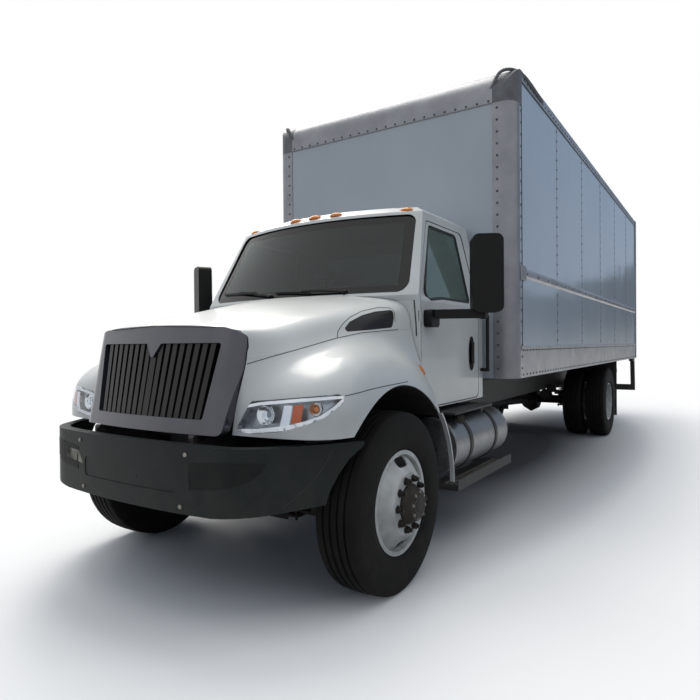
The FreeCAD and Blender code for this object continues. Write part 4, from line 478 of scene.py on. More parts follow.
# %% [markdown]
# Glass and lamp plastics let light through. Cab glass is lightly tinted and green at its depth, and
# lamp lenses are clear or amber polycarbonate, which is more glossy than painted plastic.

# %% Glass and lenses


def clear_material(name, hex_code, roughness, ior, share):
    material, tree, shader, where = blank(name)
    smears = add(tree, "MapRange", {"Value": noise(tree, where, 4.0), "From Min": 0.4, "From Max": 0.8,
                                    "To Min": roughness, "To Max": roughness + 0.06})
    set_inputs(shader, {"Base Color": linear(hex_code), "Roughness": smears, "IOR": ior,
                        "Transmission Weight": share})
    return material


def banded_glass():
    """The windscreen's glass, with the black band that is fired onto it all round."""
    material = clear_material("windscreen_glass", "7F9794", 0.0, 1.45, 1.0)
    tree, shader, where = insides(material)
    parts = add(tree, "SeparateXYZ", {0: where}).outputs
    across = add(tree, "Math", {0: parts["X"]}, operation="ABSOLUTE")
    edge = add(tree, "MapRange", {"Value": parts["Z"], "From Min": 1.80, "From Max": 2.362,
                                  "To Min": 0.838, "To Max": 0.760}, clamp=False)
    beside = add(tree, "Math", {0: across, 1: edge}, operation="GREATER_THAN")
    above = add(tree, "Math", {0: parts["Z"], 1: 2.318}, operation="GREATER_THAN")
    below = add(tree, "Math", {0: parts["Z"], 1: 1.836}, operation="LESS_THAN")
    ends = add(tree, "Math", {0: above, 1: below}, operation="MAXIMUM")
    band = add(tree, "Math", {0: ends, 1: beside}, operation="MAXIMUM")
    clear = add(tree, "Math", {0: 1.0, 1: band}, operation="SUBTRACT")
    set_inputs(shader, {"Transmission Weight": clear,
                        "Base Color": blend_colours(tree, band, "7F9794", "0C0D0E")})
    return material


windscreen_glass = banded_glass()
window_glass = clear_material("tinted_safety_glass", "8FA39F", 0.0, 1.45, 1.0)
lamp_lens = clear_material("clear_polycarbonate", "EEF3F8", 0.02, 1.25, 1.0)
amber_lens = clear_material("amber_polycarbonate", "F08A1E", 0.1, 1.5, 0.35)
red_lens = clear_material("red_polycarbonate", "B01818", 0.1, 1.5, 0.3)
red_amber = clear_material("amber_reflex_strip", "C85A24", 0.25, 1.5, 0.1)
mirror_glass = chrome("silvered_glass")
lamp_grey = dusty("satin_lamp_housing", "C2C6CC", "A4A8AE", 0.3, metallic=0.7, most=0.2, grain=200)
satin_chrome = dusty("satin_silvered_plastic", "E2E4E8", "C9CCD2", 0.25, metallic=0.8, most=0.2,
                     grain=300, bump=0.02)

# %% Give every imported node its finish
FINISHES = {
    cab_enamel: ["cab_shell", "door_left", "door_right"],
    hood_enamel: ["hood_panel", "fender_left", "fender_right"],
    sheet_painted_sky_and_shade: ["box_side_left", "box_side_right", "box_roof"],
    front_painted_shade: ["box_front_wall"],
    door_white: ["roll_up_door"],
    mill_aluminium: ["box_corner_trim", "box_rear_frame"],
    rail_aluminium: ["side_rub_rails"],
    casting_grey: ["box_corner_castings"],
    chassis_black: ["frame_rails", "bumper_brackets", "rear_step", "hood_hinges", "tank_straps"],
    step_grey: ["cab_steps"],
    axle_iron: ["front_axle", "leaf_springs", "rear_axle", "knuckle_left", "knuckle_right", "tie_rod"],
    engine_iron: ["powertrain"],
    exhaust_steel: ["exhaust"],
    tank_metal: ["fuel_tank", "battery_box"],
    bumper_plastic: ["front_bumper"],
    trim_plastic: ["mirror_left", "mirror_right", "seat_bases", "grab_handles"],
    surround_grey: ["grille_surround"],
    grille_black: ["grille_bars", "intake_louvres"],
    liner_plastic: ["wheel_liners", "splash_shields"],
    flap_rubber: ["mud_flaps"],
    tyre_rubber: ["tyre_front_left", "tyre_front_right", "tyres_rear_left", "tyres_rear_right"],
    wheel_enamel: ["wheel_front_left", "wheel_front_right", "wheels_rear_left", "wheels_rear_right"],
    seat_cloth: ["seats"],
    dash_plastic: ["dashboard"],
    floor_wood: ["box_floor"],
    windscreen_glass: ["cab_glass"],
    window_glass: ["door_glass_left", "door_glass_right"],
    lamp_lens: ["headlamps"],
    amber_lens: ["marker_lamps"],
    red_lens: ["tail_lamps"],
}
for material, names in FINISHES.items():
    for name in names:
        slots = nodes[name].data.materials
        slots.clear()
        slots.append(material)
print("nodes without a finish:", sorted(set(nodes) - {n for names in FINISHES.values() for n in names}))

# %% [markdown]
# ## Helpers for modelling
# Small helpers cover most pieces. Two select, and one opens a mesh for editing. One finishes a mesh:
# it names it, smooths it by angle, gives it a finish and lets it ride on a body. Others copy, mirror
# or join. One spins a half outline, as on a lathe. One makes a block whose edges are bevelled, because
# no real edge is sharp.

# %% Start and settle a piece
SIDES = ((1, "left"), (-1, "right"))
MIRROR = Matrix.Scale(-1, 4, Vector((1, 0, 0)))
UP = Vector((0, 0, 1))


def start_clean():
    if bpy.context.mode != "OBJECT":
        bpy.ops.object.mode_set(mode="OBJECT")
    bpy.ops.object.select_all(action="DESELECT")


def pick(*pieces):
    """Select only these pieces, and make the first one active."""
    start_clean()
    for piece in pieces:
        piece.select_set(True)
    bpy.context.view_layer.objects.active = pieces[0]


@contextmanager
def editing():
    """Edit mode with the whole mesh selected, and object mode again at the end."""
    bpy.ops.object.mode_set(mode="EDIT")
    bpy.ops.mesh.select_all(action="SELECT")
    yield
    bpy.ops.object.mode_set(mode="OBJECT")


def smooth(angle=35):
    bpy.ops.object.shade_smooth_by_angle(angle=math.radians(angle))


def finish_with(piece, material):
    piece.data.materials.clear()
    piece.data.materials.append(material)


def settle(name, body, material, angle=35):
    """Finish the active mesh: place applied, shaded by angle, given its finish and its body."""
    piece = bpy.context.object
    bpy.ops.object.transform_apply()
    smooth(angle)
    piece.name = name
    finish_with(piece, material)
    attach(piece, body)
    return piece


def twin_of(piece, matrix):
    """Another of the same, with its own mesh. A mirrored one gets its faces turned out again."""
    twin = piece.copy()
    twin.data = piece.data.copy()
    twin.data.transform(matrix)
    if matrix.determinant() < 0:
        twin.data.flip_normals()
    twin.parent = None
    twin.matrix_world = Matrix.Identity(4)
    bpy.context.scene.collection.objects.link(twin)
    return twin


def copy_of(piece, name, body, matrix):
    twin = twin_of(piece, matrix)
    twin.name = name
    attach(twin, body)
    return twin


def mirrored(piece, body):
    """The right one of a left piece, on the right one of its body."""
    return copy_of(piece, piece.name.replace("left", "right"), body.replace("left", "right"), MIRROR)


def pair(name, body, material):
    """Settle the active mesh as the left one of two, and mirror it."""
    mirrored(settle(name, body, material), body)


def joined(pieces):
    """Make one mesh of several, with the first one's name."""
    pick(*pieces)
    bpy.ops.object.join()
    return bpy.context.object


# %% [markdown]
# A lathe in Blender is the spin operator. A plane merged to one point is the pen: each extrude
# draws the next stroke of the half outline, and the spin sweeps it round the axle.

# %% Lathe and bevelled block


def lathe(outline, steps, centre=(0, 0, 0), axis=(1, 0, 0)):
    """Spin an outline of (along the axis, radius) points round an axis through centre."""
    start_clean()
    axis = Vector(axis)
    out = UP if abs(axis.z) < 0.5 else Vector((1, 0, 0))
    points = [Vector(centre) + axis * along + out * radius for along, radius in outline]
    bpy.ops.mesh.primitive_plane_add(size=0.01)
    tools = bpy.context.tool_settings
    usual_mode = tuple(tools.mesh_select_mode)
    tools.mesh_select_mode = (True, False, False)
    with editing():
        bpy.ops.mesh.merge(type="CENTER")
        bpy.ops.transform.translate(value=points[0])
        for before, after in zip(points, points[1:]):
            bpy.ops.mesh.extrude_region_move(TRANSFORM_OT_translate={"value": after - before})
        bpy.ops.mesh.select_all(action="SELECT")
        bpy.ops.mesh.spin(steps=steps, angle=2 * math.pi, center=centre, axis=axis)
        bpy.ops.mesh.select_all(action="SELECT")
        bpy.ops.mesh.remove_doubles(threshold=0.00005)
        bpy.ops.mesh.normals_make_consistent(inside=False)
    tools.mesh_select_mode = usual_mode
    return bpy.context.object


def soft_block(low, high, bevel, segments=2):
    """A block with bevelled edges between two corners, each (x, station, z)."""
    start_clean()
    low, high = place(*low), place(*high)
    bpy.ops.mesh.primitive_cube_add(size=1, location=(low + high) / 2)
    block = bpy.context.object
    block.scale = high - low
    bpy.ops.object.transform_apply(location=False, rotation=False, scale=True)
    with editing():
        bpy.ops.mesh.bevel(offset=min(bevel, min(high - low) * 0.45), segments=segments, affect="EDGES")
    bpy.ops.object.transform_apply()
    return block


def places(*spots):
    return [place(*spot) for spot in spots]


def tube(points, radius, roundness=1, bent=True):
    """A round bar along a path, made with a curve and turned into a mesh."""
    start_clean()
    curve = bpy.data.curves.new("tube", "CURVE")
    curve.dimensions = "3D"
    curve.bevel_depth = radius
    curve.bevel_resolution = roundness
    curve.use_fill_caps = True
    spline = curve.splines.new("NURBS" if bent else "POLY")
    spline.points.add(len(points) - 1)
    for point, spot in zip(spline.points, points):
        point.co = (*spot, 1)
    if bent:
        spline.order_u = 3
        spline.use_endpoint_u = True
        spline.resolution_u = 8
    bar = bpy.data.objects.new("tube", curve)
    bpy.context.scene.collection.objects.link(bar)
    pick(bar)
    bpy.ops.object.convert(target="MESH")
    return bpy.context.object


print("helpers ready")

# %% [markdown]
# ## Tyres
# A truck's highway tyre is 279 mm wide with five ribs between four grooves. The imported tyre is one
# plain ring for collision. The lathe gives the real section: a bead that sits on the rim, a wall
# that bulges, a rounded shoulder, and ribs and grooves across the crown.

# %% Tyre section and the six tyres
TYRE_HALF = 0.1395
TREAD_RADIUS = 0.522
TREAD_HALF = 0.112
GROOVE = ((0.0085, 0), (0.0068, 0.002), (0.0045, 0.013),
          (-0.0045, 0.013), (-0.0068, 0.002), (-0.0085, 0))


def crown(x):
    """The tread is not flat: it drops about 5 mm from the middle rib to the shoulder."""
    return TREAD_RADIUS - 0.0055 * (x / TREAD_HALF) ** 2


def tyre_outline():
    wall = [(0.106, 0.288), (0.107, 0.299), (0.117, 0.303), (0.1235, 0.309), (0.1265, 0.312),
            (0.1265, 0.318), (0.131, 0.326), (0.1352, 0.342), (0.138, 0.362), (0.1392, 0.384),
            (TYRE_HALF, 0.404), (0.1388, 0.426), (0.137, 0.446), (0.1345, 0.462), (0.1345, 0.466),
            (0.1325, 0.474), (0.1285, 0.487), (0.1245, 0.497), (0.120, 0.506), (0.1165, 0.511),
            (0.113, 0.5145)]
    tread = [(TREAD_HALF - 0.004, crown(TREAD_HALF))]
    for middle in (0.0665, 0.0225, -0.0225, -0.0665):
        tread += [(middle + x, crown(middle) - depth) for x, depth in GROOVE]
    tread.append((0.004 - TREAD_HALF, crown(TREAD_HALF)))
    far = [(-x, radius) for x, radius in reversed(wall)]
    return wall + tread + far + wall[:1]


AXLE_HEIGHT = TREAD_RADIUS
FRONT_WHEEL_X = 1.0265
REAR_WHEEL_X = 1.0695
DUAL_SPACING = 0.335
REAR_STATION = 6.731

lathe(tyre_outline(), 112, place(FRONT_WHEEL_X, 0, AXLE_HEIGHT))
first_tyre = settle("tyre_tread_front_left", "wheel_front_left", tyre_rubber, angle=28)
print("one tyre:", len(first_tyre.data.polygons), "faces")

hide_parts("tyre_front_left")
other = mirrored(first_tyre, "wheel_front_left")
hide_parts("tyre_front_right")
for side, word in SIDES:
    for spot, x in (("outer", REAR_WHEEL_X), ("inner", REAR_WHEEL_X - DUAL_SPACING)):
        shift = Matrix.Translation((x - FRONT_WHEEL_X, REAR_STATION, 0))
        turned = MIRROR @ shift if side < 0 else shift
        rear = copy_of(first_tyre, "tyre_tread_rear_%s_%s" % (spot, word), "wheels_rear_" + word, turned)
        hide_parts("tyres_rear_" + word)

# %% [markdown]
# ## Places read from the photograph
# The camera is known, so a pixel of the 700 x 700 photograph is a ray. Where the ray meets the packed
# model is a real place in metres. An edge between two pixels is a plane through the camera, and such
# planes can cut a piece out of a panel exactly where the photograph shows its edge.

# %% Pixels, rays and cuts
solids = {name: BVHTree.FromPolygons([vertex.co for vertex in node.data.vertices],
                                     [face.vertices for face in node.data.polygons])
          for name, node in nodes.items()}
EYE = camera.matrix_world.translation.copy()


def ray_through(px, py):
    span = camera.data.sensor_width / camera.data.lens / PHOTO_SIDE
    ahead = Vector(((px - PHOTO_SIDE / 2) * span, (PHOTO_SIDE / 2 - py) * span, -1))
    return (camera.matrix_world.to_3x3() @ ahead).normalized()


def seen_at(px, py, *names):
    """The first place that a pixel, or one just below it, shows of the nodes, and the way it faces."""
    for lower in range(0, 14, 2):
        hits = [solids[name].ray_cast(EYE, ray_through(px, py + lower)) for name in names]
        hits = [hit for hit in hits if hit[0] is not None]
        if hits:
            nearest = min(hits, key=lambda hit: hit[3])
            return nearest[0], nearest[1]
    raise ValueError("nothing of %s at %s, %s" % (names, px, py))


def mesh_of(node_name):
    """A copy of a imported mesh, free to be cut. Its triangles share their corners again."""
    piece = twin_of(nodes[node_name], Matrix.Identity(4))
    piece.hide_viewport = piece.hide_render = False
    for key in [key for key in piece.keys() if key.startswith("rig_")]:
        del piece[key]
    pick(piece)
    with editing():
        bpy.ops.mesh.remove_doubles(threshold=0.00002)
    return piece


def middle_of(piece):
    """The mean of a piece's corners."""
    return sum((vertex.co for vertex in piece.data.vertices), Vector()) / len(piece.data.vertices)


def keep_faces(piece, wanted):
    """Delete every face of which wanted(face) is false."""
    pick(piece)
    for face in piece.data.polygons:
        face.select = not wanted(face)
    bpy.ops.object.mode_set(mode="EDIT")
    bpy.ops.mesh.select_mode(type="FACE")
    bpy.ops.mesh.delete(type="FACE")
    bpy.ops.object.mode_set(mode="OBJECT")


def cut_by(piece, planes):
    """Cut off what lies beyond each plane, given as a place on it and the way that leads beyond."""
    pick(piece)
    with editing():
        for spot, beyond in planes:
            bpy.ops.mesh.select_all(action="SELECT")
            bpy.ops.mesh.bisect(plane_co=spot, plane_no=beyond, clear_outer=True)


def thicken(piece, thickness):
    modifier = piece.modifiers.new("thick", "SOLIDIFY")
    modifier.thickness = thickness
    modifier.offset = 1
    bpy.ops.object.modifier_apply(modifier="thick")


def skin_from(node_name, outline, thickness):
    """A thin piece of a node's skin, cut out along a convex outline of pixels, and made thick."""
    piece = mesh_of(node_name)
    middle = ray_through(*(sum(pixels) / len(outline) for pixels in zip(*outline)))
    planes = []
    for first, second in zip(outline, outline[1:] + outline[:1]):
        side = ray_through(*first).cross(ray_through(*second)).normalized()
        planes.append((EYE, side if side.dot(middle) < 0 else -side))
    cut_by(piece, planes)

    def first_seen(face):
        way = face.center - EYE
        hit = solids[node_name].ray_cast(EYE, way.normalized())
        return hit[0] is not None and hit[3] > way.length - 0.004 and face.normal.dot(way) < 0

    keep_faces(piece, first_seen)
    thicken(piece, thickness)
    return piece


def row_of(piece, name, body, matrices, material):
    """Copies of one small piece, each with its own mesh, joined into one object on a body."""
    row = joined([twin_of(piece, matrix) for matrix in matrices])
    row.name = name
    finish_with(row, material)
    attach(row, body)
    return row


def facing(spot, way):
    """A matrix that carries a piece made at the origin, facing +X, to a spot on a surface."""
    turn = way.to_track_quat("X", "Z").to_matrix().to_4x4()
    return Matrix.Translation(spot) @ turn


def drop(piece):
    bpy.data.objects.remove(piece)


print("eye:", [round(v, 3) for v in EYE])

# %% [markdown]
# ## Wheel nuts and hubs
# Each hub-piloted wheel has ten flange nuts on a 285.75 mm circle. One nut is drawn: a hexagon is
# extruded, its outer face inset and raised for the chamfer, and a stud comes out of its middle. The
# nuts of this truck are dark, and so is the front hub, which has an oil cap on a bolted flange.

# %% Wheel nuts and hub covers


def hex_nut(radius, depth, flange, stud, reach):
    """A nut at the origin, facing +X."""
    start_clean()
    bpy.ops.mesh.primitive_circle_add(vertices=6, radius=radius, fill_type="NGON",
                                      rotation=(0, math.pi / 2, 0))
    nut = bpy.context.object
    bpy.ops.object.transform_apply()
    with editing():
        bpy.ops.mesh.normals_make_consistent(inside=False)
        bpy.ops.mesh.extrude_region_move(TRANSFORM_OT_translate={"value": (depth * 0.88, 0, 0)})
        bpy.ops.mesh.inset(thickness=radius * 0.12)
        bpy.ops.transform.translate(value=(depth * 0.12, 0, 0))
    ring = lathe([(0, radius * 0.8), (0, flange), (depth * 0.12, flange * 0.98),
                  (depth * 0.22, radius * 0.9)], 16)
    pin = lathe([(depth * 0.9, stud), (reach * 0.95, stud), (reach, stud * 0.75), (reach, 0)], 12)
    return joined([nut, ring, pin])


FRONT_LAND_X = 1.195
REAR_LAND_X = 0.914
NUT_CIRCLE = 0.1429
WHEEL_ENDS = (("front", "wheel_front_left", FRONT_LAND_X, 0),
              ("rear", "wheels_rear_left", REAR_LAND_X, REAR_STATION))


def bolt_circles(bolt, name, material, count, first, spin, circles):
    """Bolts in a circle on each wheel. The first one stands at an angle in degrees, and spin turns each
    head differently, as a wrench leaves them. For the front wheels and for the rear ones, circles says
    how far out the circle lies, and its radius."""
    rows = []
    for (end, body, land, station), (rise, radius) in zip(WHEEL_ENDS, circles):
        spots = []
        for i in range(count):
            turn = math.radians(360 / count * i + first)
            around = Vector((0, math.sin(turn), math.cos(turn))) * radius
            spots.append(Matrix.Translation(place(land + rise, station, AXLE_HEIGHT) + around)
                         @ Matrix.Rotation(turn * spin, 4, "X"))
        rows.append((row_of(bolt, "%s_%s_left" % (name, end), body, spots, material), body))
    for row, body in rows:
        mirrored(row, body)
    drop(bolt)


bolt_circles(hex_nut(0.019, 0.026, 0.0235, 0.011, 0.041), "wheel_nuts", dark_nut, 10, 18, 3.1,
             ((0, NUT_CIRCLE), (0, NUT_CIRCLE)))
lathe([(0.0005, 0.114), (0.010, 0.114), (0.014, 0.110), (0.046, 0.0915), (0.0585, 0.0875),
       (0.0605, 0.083), (0.0605, 0.066), (0.066, 0.062), (0.068, 0.050), (0.066, 0.040), (0.069, 0.038),
       (0.071, 0)], 64, place(FRONT_LAND_X, 0, AXLE_HEIGHT))
pair("hub_cover_front_left", "wheel_front_left", dark_nut)
lathe([(0.0455, 0.0845), (0.052, 0.084), (0.0545, 0.079), (0.0555, 0.034), (0.063, 0.031),
       (0.066, 0.024), (0.066, 0)], 64, place(REAR_LAND_X, REAR_STATION, AXLE_HEIGHT))
pair("axle_flange_rear_left", "wheels_rear_left", axle_iron)
bolt_circles(hex_nut(0.0085, 0.007, 0.0105, 0.004, 0.009), "hub_bolts", zinc_steel, 8, 10, 0,
             ((0.0605, 0.073), (0.055, 0.058)))
print("nuts, covers and bolts on the front and rear hubs")

# %% [markdown]
# ## Headlamps
# Under each clear lens lies a silvered bowl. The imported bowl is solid, so here a copy loses its front
# faces and becomes open. Two reflectors are spun, a projector and a turn lamp, and stand in it. A
# silvered divider and an amber strip stand between them, and a bright strip follows the lower edge.

# %% Headlamps


def loose_parts(piece):
    pick(piece)
    bpy.ops.mesh.separate(type="LOOSE")
    return list(bpy.context.selected_objects)


lamp_parts = loose_parts(mesh_of("headlamps"))
left_parts = [part for part in lamp_parts if middle_of(part).x > 0]
for part in lamp_parts:
    if part not in left_parts:
        drop(part)
lens_piece, bowl_piece = sorted(left_parts, key=lambda part: middle_of(part).y)
LAMP_FACE = Vector((0.50, -0.86, 0.05))
keep_faces(bowl_piece, lambda face: face.normal.dot(LAMP_FACE) < 0.25)
bowl_piece = settle("lamp_bowl_left", "hood", lamp_grey)
pick(lens_piece)
lens_piece = settle("lamp_lens_left", "hood", lamp_lens)
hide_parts("headlamps")


def reflector(name, px, py, radius, depth):
    """A spun bowl whose rim stands just behind the lens, facing ahead."""
    spot, way = seen_at(px, py, "headlamps")
    ahead = (way + Vector((0, -0.6, 0))).normalized()
    lathe([(-depth, radius * 0.25), (-depth * 0.9, radius * 0.45), (-depth * 0.6, radius * 0.72),
           (-depth * 0.25, radius * 0.92), (0, radius), (0.002, radius * 1.05), (0, radius * 1.1),
           (-0.004, radius * 1.1)], 48)
    bpy.context.object.data.transform(facing(spot - way * (radius * 0.3 + 0.008), ahead))
    return settle(name, "hood", chrome_plate)


def bulb(name, px, py, radius, material):
    spot, way = seen_at(px, py, "headlamps")
    lathe([(-radius, 0), (-radius * 0.7, radius * 0.7), (0, radius), (radius * 0.6, radius * 0.75),
           (radius * 0.95, radius * 0.25), (radius, 0)], 32)
    bpy.context.object.data.transform(facing(spot - way * (radius + 0.009), way))
    return settle(name, "hood", material)


def sunk(name, outlines, depth, material):
    """Pieces of the lens's own surface, moved in behind it as one."""
    joined([skin_from("headlamps", outline, 0.004) for outline in outlines])
    with editing():
        bpy.ops.transform.translate(value=(-0.3 * depth, depth, 0))
    return settle(name, "hood", material)


def quads(edge):
    """Four-sided outlines along an edge of (x, upper y, lower y) pixels."""
    return [[(x0, a0), (x1, a1), (x1, b1), (x0, b0)]
            for (x0, a0, b0), (x1, a1, b1) in zip(edge, edge[1:])]


PROJECTOR, TURN_LAMP = (263, 415), (316, 409)
lower_edge = [(231, 429, 434), (258, 429, 433), (285, 426, 431), (303, 422, 427.5), (320, 416, 422),
              (332, 408, 414), (343, 398, 402)]
upper_edge = [(246, 405, 408), (260, 402.5, 405.5), (300, 399, 402.5), (343, 396, 399)]
amber_strip = [[(293, 406), (303, 405), (300, 424), (290, 425)]]
divider = [[(284, 406), (292, 406), (289, 425), (279, 428)]]
lamp_bits = [reflector("lamp_projector_left", *PROJECTOR, 0.050, 0.026),
             reflector("lamp_turn_reflector_left", *TURN_LAMP, 0.032, 0.022),
             bulb("lamp_projector_glass_left", *PROJECTOR, 0.026, lamp_lens),
             bulb("lamp_turn_bulb_left", *TURN_LAMP, 0.012, amber_lens),
             sunk("lamp_amber_strip_left", amber_strip, 0.012, red_amber),
             sunk("lamp_divider_left", divider, 0.012, satin_chrome),
             sunk("lamp_lower_strip_left", quads(lower_edge), 0.006, satin_chrome),
             sunk("lamp_upper_strip_left", quads(upper_edge), 0.006, satin_chrome)]
for piece in [bowl_piece, lens_piece] + lamp_bits:
    twin = mirrored(piece, "hood")
    if piece is lens_piece:
        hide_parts("headlamps")
print("lamp pieces on each side:", 2 + len(lamp_bits))

# %% [markdown]
# ## Glass edges
# The windscreen is bonded, and its black band is fired onto the glass, so the glass's finish has it.
# The door panes sit in black rubber. That band is cut from a copy of the pane: its outer faces are
# inset as one region, and what lies inside the inset goes.

# %% Bands round the door glass


def band_round(node_name, way, width, thickness):
    """A flat ring along the edge of a pane, on the side that faces the given way."""
    pane = mesh_of(node_name)
    keep_faces(pane, lambda face: face.normal.dot(Vector(way)) > 0.35)
    with editing():
        bpy.ops.mesh.tris_convert_to_quads(face_threshold=0.2, shape_threshold=3.1)
        bpy.ops.mesh.inset(thickness=width, use_boundary=True, use_even_offset=True)
        bpy.ops.mesh.delete(type="FACE")
    thicken(pane, thickness)


for side, word in SIDES:
    band_round("door_glass_" + word, (side, 0, 0), 0.02, 0.003)
    settle("door_glass_band_" + word, "door_" + word, seal_rubber)
print("bands on two door panes")

# %% [markdown]
# ## Wipers
# The wipers park low on the windscreen. Each has a thin blade that lies on the glass, and an arm that
# rises from a pivot in the cowl and presses on the blade's middle.

# %% Wipers


def lifted(px, py, lift, *names):
    spot, way = seen_at(px, py, *names)
    return spot + way * lift


def wiper(name, pixels, pivot):
    blade = [lifted(px, py, 0.008, "cab_glass") for px, py in pixels]
    rubber = tube(blade, 0.005)
    rail = tube([spot + Vector((0, -0.006, 0.010)) for spot in blade], 0.004)
    middle = blade[len(blade) // 2] + Vector((0, -0.012, 0.016))
    foot = lifted(*pivot, 0.012, "cab_glass") + Vector((0, -0.01, -0.03))
    arm = tube([middle, middle.lerp(foot, 0.5) + Vector((0, -0.02, 0.015)), foot], 0.007)
    knuckle = lathe([(-0.02, 0.012), (-0.012, 0.017), (0.012, 0.017), (0.018, 0.011), (0.02, 0)], 20,
                    foot, axis=(0, -0.5, 0.87))
    joined([rubber, rail, arm, knuckle])
    settle(name, "truck", trim_plastic)


wiper("wiper_left", [(277, 294.5), (290, 294), (303, 294.5), (316, 295.5), (328, 297)], (346, 289))
wiper("wiper_right", [(226, 296), (234, 295.5), (242, 295), (250, 294.5), (258, 294)], (272, 294))
print("two wipers")

# %% [markdown]
# ## Doors and mirrors
# A paddle handle lies in an oval black cup near the rear edge of each door. The mirrors' packed heads
# are closed shells, so the silvered glass is laid on the face that looks back: a tall pane above and a
# low one below, each in a narrow rim. On the truck the low one is convex; here both are flat.

# %% Door handles and mirror glass


def oval_cup(centre, half_y, half_z, depth):
    """An oval dish in the YZ plane that opens towards +X: a rim, a wall and a floor."""
    start_clean()
    bpy.ops.mesh.primitive_circle_add(vertices=40, radius=1, fill_type="NGON", location=centre,
                                      rotation=(0, math.pi / 2, 0))
    bpy.context.object.scale = (half_z, half_y, 1)
    bpy.ops.object.transform_apply()
    with editing():
        bpy.ops.mesh.normals_make_consistent(inside=False)
        bpy.ops.mesh.extrude_region_move(TRANSFORM_OT_translate={"value": (0.006, 0, 0)})
        bpy.ops.mesh.inset(thickness=0.005)
        bpy.ops.transform.translate(value=(-depth, 0, 0))
        bpy.ops.mesh.inset(thickness=0.006)


oval_cup(place(1.002, 1.462, 1.355), 0.052, 0.135, 0.004)
pair("handle_cup_left", "door_left", trim_plastic)
soft_block((1.006, 1.435, 1.27), (1.022, 1.485, 1.445), 0.007, segments=3)
pair("handle_paddle_left", "door_left", trim_plastic)


def mirror_panes(word):
    """The rear face of a mirror's head, parted into a tall pane and a low one, both flat."""
    tall = mesh_of("mirror_" + word)
    low_corner, high_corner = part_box("mirror_" + word)
    rear = [face for face in tall.data.polygons if face.area > 0.004 and face.normal.y > 0.6]
    way = max(rear, key=lambda face: face.area).normal.copy()
    keep_faces(tall, lambda face: face.normal.dot(way) > 0.98 and face.center.z > low_corner.z + 0.02)
    short = twin_of(tall, Matrix.Identity(4))
    middle = middle_of(tall)
    across = UP.cross(way).normalized()
    reach = [across.dot(vertex.co - middle) for vertex in tall.data.vertices]
    rim = 0.014
    edges = [(middle + across * (min(reach) + rim), -across),
             (middle + across * (max(reach) - rim), across)]
    parted_z = high_corner.z - 0.40
    for pane, name, top_z, base_z in (
            (tall, "mirror_pane_", high_corner.z - 0.022, parted_z + 0.006),
            (short, "mirror_wide_pane_", parted_z - 0.006, low_corner.z + 0.05)):
        cut_by(pane, edges + [(UP * top_z, UP), (UP * base_z, -UP)])
        thicken(pane, 0.003)
        settle(name + word, "door_" + word, mirror_glass)


for _, word in SIDES:
    mirror_panes(word)
print("handles and mirror glass")

# %% [markdown]
# ## Roof and fender lamps
# Five amber clearance lamps stand on the roof's front edge. The imported ones are plain blocks: here
# each is a low dome, a rounded form cut flat below. A small amber lamp also
# sits at the rear of each fender's crown.

# %% Clearance lamps


def lamp_dome(half_x, half_y, height):
    """A low dome at the origin, its base at z = 0."""
    start_clean()
    bpy.ops.mesh.primitive_uv_sphere_add(segments=28, ring_count=14, radius=1)
    dome = bpy.context.object
    dome.scale = (half_x, half_y, height)
    bpy.ops.object.transform_apply()
    with editing():
        bpy.ops.mesh.bisect(plane_co=(0, 0, 0), plane_no=-UP, clear_outer=True, use_fill=True)
    return dome


roof_spots = []
for part in loose_parts(mesh_of("marker_lamps")):
    middle = middle_of(part)
    base_z = min(vertex.co.z for vertex in part.data.vertices) + 0.006
    roof_spots.append(Matrix.Translation((middle.x, middle.y, base_z)))
    drop(part)
dome = lamp_dome(0.062, 0.040, 0.034)
roof_lamps = row_of(dome, "roof_clearance_lamps", "truck", roof_spots, amber_lens)
drop(dome)
pick(roof_lamps)
smooth()
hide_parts("marker_lamps")

spot, way = solids["fender_left"].find_nearest(place(1.05, 0.50, 1.27))[:2]
dome = lamp_dome(0.040, 0.020, 0.016)
turn = way.to_track_quat("Z", "X").to_matrix().to_4x4()
fender_lamp = row_of(dome, "fender_lamp_left", "hood", [Matrix.Translation(spot - way * 0.003) @ turn],
                     amber_lens)
drop(dome)
pick(fender_lamp)
smooth()
mirrored(fender_lamp, "hood")
print("roof lamps:", len(roof_spots))

# %% [markdown]
# ## The bumper's face
# The bumper is one moulding with end caps. A lens-shaped panel is sunk beside the plate's place; here it
# is a thin skin of darker plastic on the face, painted shade for the recess. A curved seam shows where
# each end cap starts, and round-headed bolts hold it to its brackets. On the right the photograph shows
# a pocket whose edge is torn and pale.

# %% Bumper panels, seams and bolts
# A thin darker skin on the bumper's face: painted shade for its lens-shaped recess.
skin_from("front_bumper", [(188, 463), (266, 464), (262, 472), (251, 481), (236, 487), (215, 490.5),
                           (189, 490)], 0.0015)
pair("bumper_sunk_panel_left", "truck", bumper_painted_shade)
seam = [(337, 437), (333, 449), (326, 463), (317, 476), (306, 488), (294, 499), (282, 509)]
tube([lifted(px, py, -0.0005, "front_bumper") for px, py in seam], 0.0022)
pair("bumper_end_seam_left", "truck", seal_rubber)
skin_from("front_bumper", [(66, 446), (79, 450), (83, 463), (76, 460), (68, 456)], 0.0015)
settle("bumper_torn_pocket", "truck", scuffed_plastic)

head = lathe([(0, 0.012), (0.0028, 0.012), (0.006, 0.00936), (0.008, 0.0048), (0.008, 0)], 16)
bolt_places = []
for px, py in ((185, 455), (180, 507)):
    bolt = facing(*seen_at(px, py, "front_bumper"))
    bolt_places += [bolt, MIRROR @ bolt]
row_of(head, "bumper_bolts", "truck", bolt_places, zinc_steel)
drop(head)
print("bumper bolts:", len(bolt_places))

# %% [markdown]
# ## Panel joints of the hood
# The hood is one moulding with bolted fenders. Their joints show as thin dark lines: along the top
# of each fender, round the air intake, along the lamp and down at the cowl. Each line is a fine bead
# that follows the surface, through places read from the photograph.

# %% Panel joints


